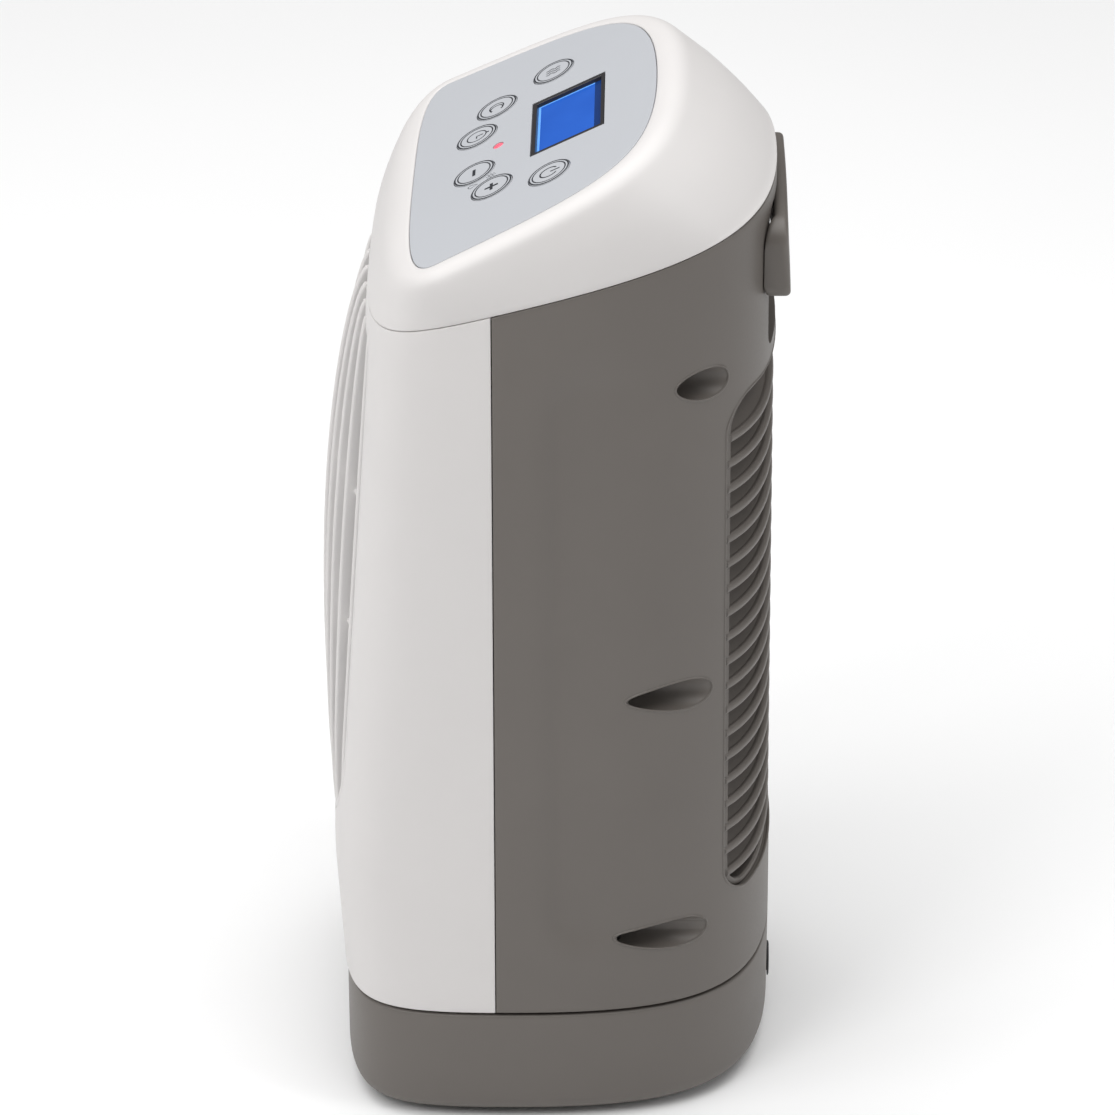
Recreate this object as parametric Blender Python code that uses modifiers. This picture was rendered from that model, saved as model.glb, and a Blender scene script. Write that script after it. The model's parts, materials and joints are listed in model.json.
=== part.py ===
"""Portable ceramic tower fan heater that swings on its base.

The base holds the swing drive. The tower holds a vertical cross-flow fan, a ceramic heater,
the electronics and a sloping control panel with six keys.

Frame: metres, +Z up. The floor is Z = 0 and the tower swings about the Z axis. The air leaves
towards -Y, the front, and enters at +Y, the rear. X is the width.
"""

import math

import bmesh
import bpy
from mathutils import Vector

MM = 0.001
GAP = 0.3 * MM
WALL = 2.4 * MM
QUARTER_STEPS = 8

# Feet and base.
FOOT_HEIGHT = 2.3 * MM
FOOT_RADIUS = 8 * MM
FOOT_X = 52 * MM
FOOT_Y = 47 * MM
PLATE_BOTTOM = FOOT_HEIGHT + GAP
PLATE_THICKNESS = 3 * MM
PLATE_TOP = PLATE_BOTTOM + PLATE_THICKNESS
BASE_TOP = 45 * MM
BASE_POST_RADIUS = 4 * MM
CORD_Z = 17 * MM
CORD_HOLE_RADIUS = 5 * MM
CORD_RADIUS = 3 * MM
CORD_LIP_HEIGHT = 0.9 * MM
BASE_FILLET = 7 * MM
BASE_HALF_WIDTH = 81.5 * MM
BASE_FRONT = -76 * MM
BASE_REAR = 77.2 * MM
WIDEST_Y = -20.4 * MM
FRONT_SQUARENESS = 0.92
REAR_SQUARENESS = 0.77

# Swivel between the base and the tower.
SPINDLE_RADIUS = 14 * MM
SPINDLE_BORE = 10 * MM
SPINDLE_BOTTOM = 34.3 * MM
DECK_BOTTOM = BASE_TOP - WALL
RETAINER_THICKNESS = 1.3 * MM
RETAINER_RADIUS = 21 * MM
SLIP_RING_INNER = 40 * MM
SLIP_RING_OUTER = 52 * MM
SLIP_RING_THICKNESS = 1.2 * MM

# Swing drive.
GEAR_MODULE = 1.25 * MM
GEAR_TEETH = 48
PINION_TEETH = 12
SECTOR_TEETH_EACH_SIDE = 6
GEAR_BOTTOM = 35 * MM
GEAR_TOP = 40.5 * MM
GEAR_RADIUS = GEAR_MODULE * GEAR_TEETH / 2
PINION_RADIUS = GEAR_MODULE * PINION_TEETH / 2
PINION_Y = GEAR_RADIUS + PINION_RADIUS
BACKLASH = 0.35 * MM
PRESSURE_ANGLE = math.radians(20)
SWING_MOTOR_RADIUS = 25 * MM
SWING_MOTOR_BOTTOM = 12 * MM
SWING_MOTOR_TOP = 33 * MM
MOTOR_EAR_X = 29 * MM
MOTOR_EAR_HALF = 5 * MM
MOTOR_EAR_THICKNESS = 1.5 * MM

# Tower shells.
TOWER_BOTTOM = 46.3 * MM
FLOOR_BOTTOM = 46.8 * MM
FLOOR_TOP = 49.8 * MM
TOWER_HALF_WIDTH_LOW = 81.5 * MM
TOWER_HALF_WIDTH_HIGH = 80.8 * MM
FRONT_LOW = -77 * MM
FRONT_CREST = -79.9 * MM
FRONT_HIGH = -64 * MM
CREST_Z = 95 * MM
REAR_LOW = 77.2 * MM
REAR_HIGH = 74.5 * MM
CAP_SEAM_Z = 325 * MM
CAP_SEAM_SLOPE = 0.262
FRONT_TOP_Z = CAP_SEAM_Z + CAP_SEAM_SLOPE * FRONT_HIGH
REAR_TOP_Z = CAP_SEAM_Z + CAP_SEAM_SLOPE * REAR_HIGH

# Outlet grille: a tall opening with a rounded foot, whose slats swell forward of the front shell.
GRILLE_BOTTOM_Z = 98 * MM
GRILLE_TOP_Z = 300 * MM
GRILLE_HALF_WIDTH = 58.5 * MM
GRILLE_BOTTOM_CORNER = 42 * MM
GRILLE_TOP_CORNER = 8 * MM
GRILLE_SWELL = 10.6 * MM
SWELL_SKEW = 1.36
SWELL_POWER = 1.3
SWELL_MARGIN = 4 * MM
GRILLE_FRAME_WIDTH = 2.6 * MM
GRILLE_FRAME_DEPTH = 9 * MM
SLAT_PITCH = 13 * MM
SLATS_EACH_SIDE = 4
SLAT_THICKNESS = 2.2 * MM
SLAT_DEPTH = 5.5 * MM
CROSSBAR_Z = (182 * MM, 233 * MM)

# Inlet grille with sloping fins.
INLET_HALF_WIDTH = 61 * MM
INLET_BOTTOM = 81.5 * MM
INLET_TOP = 279.5 * MM
INLET_CORNER = 13 * MM
INLET_SETBACK = 1.5 * MM
FIN_COUNT = 19
FIRST_FIN_Z = 91.3 * MM
FIN_PITCH = 9.6 * MM
FIN_DEPTH = 10 * MM
FIN_DROP = 6 * MM
FIN_THICKNESS = 2 * MM
INLET_RAIL = 2.6 * MM

# Screws that pull the two shells together, in open pockets on the rear corners.
POCKET_X = (71.9 * MM, 70.8 * MM, 66.4 * MM)
POCKET_RADIUS = 5.8 * MM
POCKET_FLOOR_Y = 22 * MM
BOSS_RADIUS = 7.6 * MM
BOSS_FLOOR = 4 * MM
POCKET_Z = (75 * MM, 171.5 * MM, 289 * MM)
FRONT_POST_RADIUS = 4.6 * MM
FRONT_POST_END_Y = -52 * MM
POST_SETBACK = 0.8 * MM
RIB_HALF = 1.2 * MM
SCREW_HEAD_RADIUS = 3.2 * MM
SCREW_SHANK_RADIUS = 1.5 * MM

# Hand recess and carry handle.
RECESS_HALF_WIDTH = 33 * MM
RECESS_BOTTOM = 285 * MM
RECESS_TOP = 337 * MM
RECESS_FLOOR_Y = 48 * MM
HANDLE_HALF_WIDTH = 41 * MM
HANDLE_BOTTOM = 307.5 * MM
HANDLE_TOP = 335 * MM
HANDLE_OUTER_Y = 79.2 * MM
HANDLE_THICKNESS = 6 * MM
HANDLE_BOW = 0.4 * MM

# Top cap and sloping panel. Panel heights are measured along its normal from the overlay's face.
PANEL_Z = 355 * MM
PANEL_SLOPE = 0.5
PANEL_TILT = math.atan(PANEL_SLOPE)
CAP_BEZEL = 8 * MM
CAP_EDGE_RADIUS = 6 * MM
CAP_BULGE = 1 * MM
CAP_TRIM = 4 * MM
CAP_REAR_BULGE = 2.5 * MM
OVERLAY_THICKNESS = 0.9 * MM
PANEL_RECESS = OVERLAY_THICKNESS + GAP
LCD_V = 3.9 * MM
LCD_HALF_X = 21.6 * MM
LCD_HALF_V = 13.6 * MM
LED_V = -22.5 * MM
LED_RADIUS = 1.75 * MM
KEY_RADIUS = 7.6 * MM
KEY_FLANGE_RADIUS = 8.4 * MM
KEY_TRAVEL = 0.6 * MM
BOARD_THICKNESS = 1.6 * MM
BOARD_TOP = -9.8 * MM
SWITCH_HEIGHT = 0.9 * MM
KEYS = {
    "key_mode": (-41.8 * MM, -2.3 * MM),
    "key_sleep": (-32.5 * MM, -23.9 * MM),
    "key_timer": (-14.9 * MM, -31.0 * MM),
    "key_minus": (14.9 * MM, -31.0 * MM),
    "key_plus": (32.5 * MM, -23.9 * MM),
    "key_power": (41.8 * MM, -2.3 * MM),
}

# Cross-flow fan and its housing.
FAN_X = -6 * MM
FAN_Y = 22 * MM
IMPELLER_RADIUS = 26 * MM
IMPELLER_BOTTOM = 100 * MM
IMPELLER_TOP = 272 * MM
BLADE_COUNT = 12
SHAFT_RADIUS = 2.5 * MM
HOUSING_BOTTOM = 96 * MM
HOUSING_TOP = 276.5 * MM
HOUSING_PLATE = 2 * MM
DUCT_HALF_WIDTH = 33 * MM
DUCT_FRONT_Y = -39 * MM
FAN_MOTOR_RADIUS = 26 * MM
FAN_MOTOR_BOTTOM = 56 * MM

# Ceramic heater in front of the duct.
HEATER_FRONT_Y = -56 * MM
HEATER_REAR_Y = -40 * MM
HEATER_HALF_WIDTH = 33 * MM
HEATER_WINDOW = 26 * MM
HEATER_BOTTOM = 99 * MM
HEATER_TOP = 271 * MM
HEATER_END = 8 * MM
BAFFLE_HALF_WIDTH = 60.5 * MM
BAFFLE_BOTTOM = 92 * MM
BAFFLE_TOP = 303 * MM
BAFFLE_THICKNESS = 1.6 * MM
BAFFLE_FRONT_Y = -42 * MM
CUTOUT_PLACE = (18 * MM, -49.5 * MM)
CUTOUT_RADIUS = 7 * MM


# Scene and small helpers -------------------------------------------------------------------

for old in list(bpy.data.objects):
    bpy.data.objects.remove(old, do_unlink=True)

PARTS = bpy.data.collections.new("ceramic_fan_heater")
CUTTERS = bpy.data.collections.new("cutters")
bpy.context.scene.collection.children.link(PARTS)
bpy.context.scene.collection.children.link(CUTTERS)


def make_material(name, colour, roughness, metallic=0.0):
    made = bpy.data.materials.new(name)
    made.use_nodes = True
    made.diffuse_color = (*colour, 1)
    shader = made.node_tree.nodes["Principled BSDF"]
    shader.inputs["Base Color"].default_value = (*colour, 1)
    shader.inputs["Roughness"].default_value = roughness
    shader.inputs["Metallic"].default_value = metallic
    return made


WHITE = make_material("white_plastic", (0.78, 0.76, 0.74), 0.42)
TAUPE = make_material("taupe_plastic", (0.165, 0.14, 0.12), 0.5)
SILVER = make_material("silver_overlay", (0.52, 0.54, 0.56), 0.35)
KEY_FACE = make_material("key_face", (0.55, 0.57, 0.59), 0.35)
LCD_BLUE = make_material("lcd_blue", (0.03, 0.12, 0.55), 0.12)
LED_RED = make_material("led_red", (0.8, 0.05, 0.06), 0.3)
RUBBER = make_material("rubber", (0.02, 0.02, 0.02), 0.8)
STEEL = make_material("steel", (0.55, 0.55, 0.56), 0.35, 1.0)
ALUMINIUM = make_material("aluminium", (0.8, 0.8, 0.82), 0.35, 1.0)
CERAMIC = make_material("ceramic", (0.5, 0.48, 0.44), 0.7)
BOARD = make_material("circuit_board", (0.03, 0.2, 0.08), 0.5)
BLACK = make_material("black_plastic", (0.025, 0.025, 0.027), 0.5)
NATURAL = make_material("natural_plastic", (0.7, 0.68, 0.62), 0.45)


def add_empty(name, location, parent=None, tilt=0.0):
    empty = bpy.data.objects.new(name, None)
    empty.location = location
    empty.rotation_euler = (tilt, 0, 0)
    empty.parent = parent
    PARTS.objects.link(empty)
    return empty


def add_object(name, mesh, material=None, parent=None, location=(0, 0, 0)):
    """Adds a part, or a hidden cutter when it has no material."""
    made = bpy.data.objects.new(name, mesh)
    made.location = location
    made.parent = parent
    if material:
        mesh.materials.append(material)
        PARTS.objects.link(made)
        mesh.shade_smooth()
        mesh.set_sharp_from_angle(angle=math.radians(35))
    else:
        CUTTERS.objects.link(made)
        made.hide_render = True
        made.display_type = "WIRE"
    return made


def mesh_from(name, work):
    bmesh.ops.recalc_face_normals(work, faces=work.faces)
    mesh = bpy.data.meshes.new(name)
    work.to_mesh(mesh)
    work.free()
    return mesh


def loft(name, rings, material=None, parent=None, capped=True, looped=False, location=(0, 0, 0)):
    """Skins closed rings of equal length: capped ends make a solid, looped makes a torus."""
    work = bmesh.new()
    rows = [[work.verts.new(point) for point in ring] for ring in rings]
    pairs = list(zip(rows, rows[1:]))
    if looped:
        pairs.append((rows[-1], rows[0]))
    for lower, upper in pairs:
        count = len(lower)
        for i in range(count):
            j = (i + 1) % count
            work.faces.new((lower[i], lower[j], upper[j], upper[i]))
    if capped:
        work.faces.new(rows[0])
        work.faces.new(rows[-1])
    return add_object(name, mesh_from(name, work), material, parent, location)


def prism(name, outline, z_low, z_high, material=None, parent=None, location=(0, 0, 0)):
    rings = [[(x, y, z) for x, y in outline] for z in (z_low, z_high)]
    return loft(name, rings, material, parent, location=location)


def box(name, low, high, material=None, parent=None, location=(0, 0, 0)):
    work = bmesh.new()
    bmesh.ops.create_cube(work, size=1)
    for vert in work.verts:
        for axis in range(3):
            middle = (low[axis] + high[axis]) / 2
            vert.co[axis] = middle + vert.co[axis] * (high[axis] - low[axis])
    return add_object(name, mesh_from(name, work), material, parent, location)


def cylinder(name, centre, radius, low, high, material=None, parent=None, along="z", sides=16,
             location=(0, 0, 0)):
    """A cylinder from low to high along z or y, through centre, the other two coordinates."""
    work = bmesh.new()
    bmesh.ops.create_cone(work, cap_ends=True, segments=sides, radius1=radius, radius2=radius,
                          depth=high - low)
    middle = (low + high) / 2
    for vert in work.verts:
        x, y, z = vert.co
        if along == "z":
            vert.co = (centre[0] + x, centre[1] + y, middle + z)
        else:
            vert.co = (centre[0] + x, middle + z, centre[1] - y)
    return add_object(name, mesh_from(name, work), material, parent, location)


def turned(name, profile, material, parent=None, location=(0, 0, 0), steps=16):
    """Turns a profile of (radius, height) points, listed top to bottom on the outer side."""
    mesh = bpy.data.meshes.new(name)
    edges = [(i, i + 1) for i in range(len(profile) - 1)]
    if profile[0][0] > 0:
        edges.append((len(profile) - 1, 0))
    mesh.from_pydata([(r, 0, z) for r, z in profile], edges, [])
    made = add_object(name, mesh, material, parent, location)
    screw = made.modifiers.new("turn", "SCREW")
    screw.steps = steps
    screw.render_steps = steps
    screw.use_merge_vertices = True
    screw.merge_threshold = 0.00001
    screw.use_smooth_shade = True
    return made


def boolean(target, other, operation):
    change = target.modifiers.new(f"{operation.lower()}_{other.name}", "BOOLEAN")
    change.operation = operation
    change.object = other


def cut(target, *others):
    for other in others:
        boolean(target, other, "DIFFERENCE")


def join(target, *others):
    for other in others:
        boolean(target, other, "UNION")


# Plan curves ---------------------------------------------------------------------------------

def mix(a, b, t):
    return a + (b - a) * t


def bezier(points, t):
    """A point on the cubic curve through four control points."""
    weights = ((1 - t) ** 3, 3 * (1 - t) ** 2 * t, 3 * (1 - t) * t ** 2, t ** 3)
    return tuple(sum(w * p[axis] for w, p in zip(weights, points)) for axis in range(2))


def half_outline(front, side, steps=QUARTER_STEPS):
    """Right half of a closed outline, front centre to rear centre, from two cubic quarters."""
    points = [bezier(front, i / steps) for i in range(steps)]
    return points + [bezier(side, i / steps) for i in range(steps + 1)]


def mirrored(half):
    return half + [(-x, y) for x, y in reversed(half[1:-1])]


def body_half(half_width, front, rear):
    width = half_width
    front_bend = mix(WIDEST_Y, front, FRONT_SQUARENESS)
    rear_bend = mix(WIDEST_Y, rear, REAR_SQUARENESS)
    front_quarter = ((0, front), (width * FRONT_SQUARENESS, front), (width, front_bend), (width, WIDEST_Y))
    rear_quarter = ((width, WIDEST_Y), (width, rear_bend), (width * REAR_SQUARENESS, rear), (0, rear))
    return half_outline(front_quarter, rear_quarter)


def inset(outline, distance):
    """Moves a closed anticlockwise outline inwards."""
    moved = []
    count = len(outline)
    for i, (x, y) in enumerate(outline):
        before = Vector(outline[i - 1])
        after = Vector(outline[(i + 1) % count])
        along = (after - before).normalized()
        moved.append((x - along.y * distance, y + along.x * distance))
    return moved


def front_y(z):
    """The tower's front centre line: it swells to a crest low down, then leans back."""
    if z < CREST_Z:
        return mix(FRONT_LOW, FRONT_CREST, (z - TOWER_BOTTOM) / (CREST_Z - TOWER_BOTTOM))
    return mix(FRONT_CREST, FRONT_HIGH, (z - CREST_Z) / (FRONT_TOP_Z - CREST_Z))


def tower_outline(z, distance=0.0):
    rise = (z - TOWER_BOTTOM) / (CAP_SEAM_Z - TOWER_BOTTOM)
    half_width = mix(TOWER_HALF_WIDTH_LOW, TOWER_HALF_WIDTH_HIGH, rise)
    outline = mirrored(body_half(half_width, front_y(z), mix(REAR_LOW, REAR_HIGH, rise)))
    return inset(outline, distance) if distance else outline


def seam_z(y):
    return CAP_SEAM_Z + CAP_SEAM_SLOPE * y


def at_height(outline, z):
    return [(x, y, z) for x, y in outline]


def edge_y(outline, x, rear):
    """Where a vertical plane at x meets the front or the rear of an outline."""
    found = []
    for (x1, y1), (x2, y2) in zip(outline, outline[1:] + outline[:1]):
        if x1 != x2 and min(x1, x2) <= x <= max(x1, x2):
            found.append(mix(y1, y2, (x - x1) / (x2 - x1)))
    return max(found) if rear else min(found)


# Base ----------------------------------------------------------------------------------------

BASE_OUTLINE = mirrored(body_half(BASE_HALF_WIDTH, BASE_FRONT, BASE_REAR))
BASE_POSTS = [(sx * 60 * MM, sy * 22 * MM) for sx in (-1, 1) for sy in (-1, 1)]
MOTOR_POSTS = [(-MOTOR_EAR_X, PINION_Y), (MOTOR_EAR_X, PINION_Y)]


def hole_ring(radius, outline, z):
    """A circle with one point for each outline point, in the same directions."""
    ring = []
    for x, y in outline:
        length = math.hypot(x, y)
        ring.append((x * radius / length, y * radius / length, z))
    return ring


def make_base_shell():
    rings = []
    for degrees in (0, 45, 90):
        turn = math.radians(degrees)
        distance = BASE_FILLET * (1 - math.sin(turn))
        rings.append(at_height(inset(BASE_OUTLINE, distance),
                               PLATE_BOTTOM + BASE_FILLET * (1 - math.cos(turn))))
    rings.append(at_height(BASE_OUTLINE, BASE_TOP - 1 * MM))
    rings.append(at_height(inset(BASE_OUTLINE, 1 * MM), BASE_TOP))
    rings.append(hole_ring(SPINDLE_RADIUS + GAP, BASE_OUTLINE, BASE_TOP))
    shell = loft("base_shell", rings, TAUPE, capped=False)
    wall = shell.modifiers.new("wall", "SOLIDIFY")
    wall.thickness = WALL
    wall.offset = -1
    wall.use_even_offset = True
    for i, (x, y) in enumerate(BASE_POSTS):
        post = cylinder(f"base_post_{i}", (x, y), BASE_POST_RADIUS, PLATE_TOP + GAP, BASE_TOP - 1 * MM,
                        sides=8)
        join(shell, post)
        cut(shell, cylinder(f"base_post_bore_{i}", (x, y), SCREW_SHANK_RADIUS + GAP, 0, 22 * MM, sides=8))
    for i, (x, y) in enumerate(MOTOR_POSTS):
        post = cylinder(f"motor_post_{i}", (x, y), BASE_POST_RADIUS, SWING_MOTOR_TOP + GAP, BASE_TOP - 1 * MM,
                        sides=8)
        join(shell, post)
        cut(shell, cylinder(f"motor_post_bore_{i}", (x, y), SCREW_SHANK_RADIUS + GAP, 0, 40 * MM, sides=8))
    inlet = cylinder("cord_hole", (0, CORD_Z), CORD_HOLE_RADIUS, 60 * MM, 90 * MM, along="y", sides=16)
    cut(shell, inlet)
    return shell


def make_base_plate():
    outline = inset(BASE_OUTLINE, BASE_FILLET + WALL / 2 + GAP)
    plate = prism("base_bottom_plate", outline, PLATE_BOTTOM, PLATE_TOP, TAUPE)
    for i, (x, y) in enumerate(BASE_POSTS):
        cut(plate, cylinder(f"plate_bore_{i}", (x, y), SCREW_SHANK_RADIUS + GAP, 0, 9 * MM, sides=8))
        cut(plate, cylinder(f"plate_counterbore_{i}", (x, y), SCREW_HEAD_RADIUS + GAP, 0,
                            PLATE_BOTTOM + 1.7 * MM, sides=12))
    return plate


def make_screw(name, location, length, parent=None, along=(0, 0, 1)):
    """A pan-head screw whose head faces away from its direction; its origin is under the head."""
    profile = ((0, length), (SCREW_SHANK_RADIUS, length), (SCREW_SHANK_RADIUS, 0),
               (SCREW_HEAD_RADIUS, 0), (SCREW_HEAD_RADIUS * 0.8, -1.4 * MM), (0, -1.4 * MM))
    screw = turned(name, profile, STEEL, parent, location, steps=8)
    screw.rotation_mode = "QUATERNION"
    screw.rotation_quaternion = Vector((0, 0, 1)).rotation_difference(Vector(along))
    return screw


def make_base_fittings():
    for i, (x, y) in enumerate(BASE_POSTS, 1):
        make_screw(f"base_screw_{i}", (x, y, PLATE_BOTTOM + 1.6 * MM), 14 * MM)
    corners = [(sx * FOOT_X, sy * FOOT_Y) for sy in (-1, 1) for sx in (-1, 1)]
    for i, (x, y) in enumerate(corners, 1):
        profile = ((0, FOOT_HEIGHT), (FOOT_RADIUS, FOOT_HEIGHT), (FOOT_RADIUS, 0.8 * MM),
                   (FOOT_RADIUS - 0.8 * MM, 0), (0, 0))
        turned(f"rubber_foot_{i}", profile, RUBBER, location=(x, y, 0), steps=12)
    # The bush lines the cord's hole in the rear wall, with a lip on the outside.
    rear = edge_y(BASE_OUTLINE, 0, True)
    lip = CORD_HOLE_RADIUS + 1.5 * MM
    neck = CORD_HOLE_RADIUS - GAP
    profile = ((CORD_RADIUS, CORD_LIP_HEIGHT), (lip, CORD_LIP_HEIGHT), (lip, GAP), (neck, GAP),
               (neck, -6 * MM), (CORD_RADIUS, -6 * MM))
    bush = turned("cord_inlet_bush", profile, BLACK, location=(0, rear, CORD_Z))
    bush.rotation_euler = (-math.pi / 2, 0, 0)
    block = box("tip_over_switch", (-52 * MM, -34 * MM, PLATE_TOP + GAP), (-32 * MM, -18 * MM, 24 * MM),
                BLACK)
    edge = block.modifiers.new("edge", "BEVEL")
    edge.width = 1 * MM
    edge.segments = 1


# Swing drive ---------------------------------------------------------------------------------

def tooth_half_angle(teeth, radius):
    """Half of a tooth's angular width at a radius, on an involute flank."""
    pitch_radius = GEAR_MODULE * teeth / 2
    base_radius = pitch_radius * math.cos(PRESSURE_ANGLE)
    at_pitch = (math.pi * GEAR_MODULE - BACKLASH) / 4 / pitch_radius
    pressure = math.acos(min(1.0, base_radius / radius))
    involute = math.tan(pressure) - pressure
    return at_pitch + math.tan(PRESSURE_ANGLE) - PRESSURE_ANGLE - involute


def gear_outline(teeth, first_angle, used):
    """An anticlockwise gear outline; teeth that aren't used are left at the root circle."""
    pitch_radius = GEAR_MODULE * teeth / 2
    root = pitch_radius - 1.15 * GEAR_MODULE
    tip = pitch_radius + 0.8 * GEAR_MODULE
    points = []
    for i in range(teeth):
        middle = first_angle + 2 * math.pi * i / teeth
        if i in used:
            flank = [(radius, tooth_half_angle(teeth, radius)) for radius in (root, pitch_radius, tip)]
        else:
            points.append((root * math.cos(middle), root * math.sin(middle)))
            continue
        for radius, angle in flank:
            points.append((radius * math.cos(middle - angle), radius * math.sin(middle - angle)))
        for radius, angle in reversed(flank):
            points.append((radius * math.cos(middle + angle), radius * math.sin(middle + angle)))
    return points


def make_swing_drive(swing_axis, pinion_axis):
    motor = cylinder("swing_motor", (0, PINION_Y), SWING_MOTOR_RADIUS, SWING_MOTOR_BOTTOM,
                     SWING_MOTOR_TOP, STEEL, sides=24)
    ear = box("motor_ear", (-MOTOR_EAR_X - MOTOR_EAR_HALF, PINION_Y - MOTOR_EAR_HALF,
                            SWING_MOTOR_TOP - MOTOR_EAR_THICKNESS),
              (MOTOR_EAR_X + MOTOR_EAR_HALF, PINION_Y + MOTOR_EAR_HALF, SWING_MOTOR_TOP))
    join(motor, ear)
    cut(motor, cylinder("motor_bore", (0, PINION_Y), SHAFT_RADIUS + GAP, 22 * MM, 40 * MM, sides=12))
    for i, (x, y) in enumerate(MOTOR_POSTS, 1):
        cut(motor, cylinder(f"ear_bore_{i}", (x, y), SCREW_SHANK_RADIUS + GAP, 25 * MM, 40 * MM, sides=8))
        make_screw(f"swing_motor_screw_{i}", (x, y, SWING_MOTOR_TOP - MOTOR_EAR_THICKNESS - GAP), 8 * MM)

    outline = gear_outline(PINION_TEETH, -math.pi / 2 + math.pi / PINION_TEETH, range(PINION_TEETH))
    pinion = prism("swing_pinion", outline, GEAR_BOTTOM, GEAR_TOP, NATURAL, pinion_axis)
    shaft = cylinder("pinion_shaft", (0, 0), SHAFT_RADIUS, 24 * MM, GEAR_BOTTOM + 2 * MM,
                     parent=pinion_axis, sides=12)
    join(pinion, shaft)

    span = SECTOR_TEETH_EACH_SIDE
    used = {i % GEAR_TEETH for i in range(-span, span + 1)}
    gear = prism("swing_gear", gear_outline(GEAR_TEETH, math.pi / 2, used), GEAR_BOTTOM, GEAR_TOP,
                 NATURAL, swing_axis)
    cut(gear, cylinder("gear_bore", (0, 0), SPINDLE_RADIUS + GAP, 30 * MM, BASE_TOP, sides=24))

    ring_profile = ((SLIP_RING_INNER, SLIP_RING_THICKNESS), (SLIP_RING_OUTER, SLIP_RING_THICKNESS),
                    (SLIP_RING_OUTER, 0), (SLIP_RING_INNER, 0))
    turned("slip_ring", ring_profile, NATURAL, location=(0, 0, BASE_TOP + GAP), steps=24)
    retainer_profile = ((SPINDLE_RADIUS + GAP, RETAINER_THICKNESS), (RETAINER_RADIUS, RETAINER_THICKNESS),
                        (RETAINER_RADIUS, 0), (SPINDLE_RADIUS + GAP, 0))
    turned("spindle_retainer", retainer_profile, STEEL, swing_axis,
           (0, 0, DECK_BOTTOM - GAP - RETAINER_THICKNESS), steps=24)


def make_tower_floor(swing_axis):
    floor = prism("tower_floor", tower_outline(FLOOR_BOTTOM, WALL + 2 * GAP), FLOOR_BOTTOM, FLOOR_TOP,
                  TAUPE, swing_axis)
    join(floor, cylinder("spindle", (0, 0), SPINDLE_RADIUS, SPINDLE_BOTTOM, FLOOR_TOP - 1 * MM, sides=24))
    cut(floor, cylinder("spindle_bore", (0, 0), SPINDLE_BORE, 0, 60 * MM, sides=16))
    return floor


# Tower shells --------------------------------------------------------------------------------

def shell_ring(z_rule, z_nominal, distance, rear, seam_y):
    """Half of the tower's outline as a ring that is closed by a straight line at the seam."""
    outline = tower_outline(z_nominal, distance)
    count = 2 * QUARTER_STEPS
    if rear:
        points = outline[QUARTER_STEPS:QUARTER_STEPS + count + 1]
    else:
        points = outline[QUARTER_STEPS + count:] + outline[:QUARTER_STEPS + 1]
    first = (points[0][0], seam_y)
    last = (points[-1][0], seam_y)
    return [(x, y, z_rule(y)) for x, y in [first] + points[1:-1] + [last]]


def shell_volume(name, rear, distance, material=None, parent=None):
    """Solid inside a half of the tower; a positive distance makes the longer cavity cutter."""
    side = 1 if rear else -1
    seam_y = WIDEST_Y + side * GAP / 2
    overshoot = 0.0
    if distance:
        overshoot = 6 * MM
        seam_y = WIDEST_Y - side * 3 * MM
    top = REAR_TOP_Z if rear else FRONT_TOP_Z
    low = TOWER_BOTTOM - overshoot
    rings = [shell_ring(lambda y: low, TOWER_BOTTOM, distance, rear, seam_y)]
    if not rear:
        rings.append(shell_ring(lambda y: CREST_Z, CREST_Z, distance, rear, seam_y))
    rings.append(shell_ring(lambda y: seam_z(y) - GAP / 2 + overshoot, top, distance, rear, seam_y))
    return loft(name, rings, material, parent)


def side_places():
    return [(f"{side}_{level}", sign * x, z)
            for level, x, z in zip(("low", "middle", "high"), POCKET_X, POCKET_Z)
            for side, sign in (("left", -1), ("right", 1))]


def make_front_shell(swing_axis):
    shell = shell_volume("front_shell", False, 0.0, WHITE, swing_axis)
    cavity = shell_volume("front_cavity", False, WALL)
    for place, x, z in side_places():
        end_y = WIDEST_Y - POST_SETBACK
        post = cylinder(f"front_post_{place}", (x, z), FRONT_POST_RADIUS, FRONT_POST_END_Y, end_y,
                        along="y", sides=12)
        reach = math.copysign(90 * MM, x)
        rib = box(f"front_rib_{place}", (min(x, reach), FRONT_POST_END_Y, z - RIB_HALF),
                  (max(x, reach), end_y, z + RIB_HALF))
        cut(cavity, post, rib)
    cut(shell, cavity)
    for place, x, z in side_places():
        cut(shell, cylinder(f"front_bore_{place}", (x, z), SCREW_SHANK_RADIUS + GAP, -38 * MM, 0,
                            along="y", sides=8))
    rings = [[(x, y, z) for x, z in outlet_outline(0.0)] for y in (-95 * MM, -40 * MM)]
    cut(shell, loft("outlet_opening", rings))
    return shell


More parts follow.
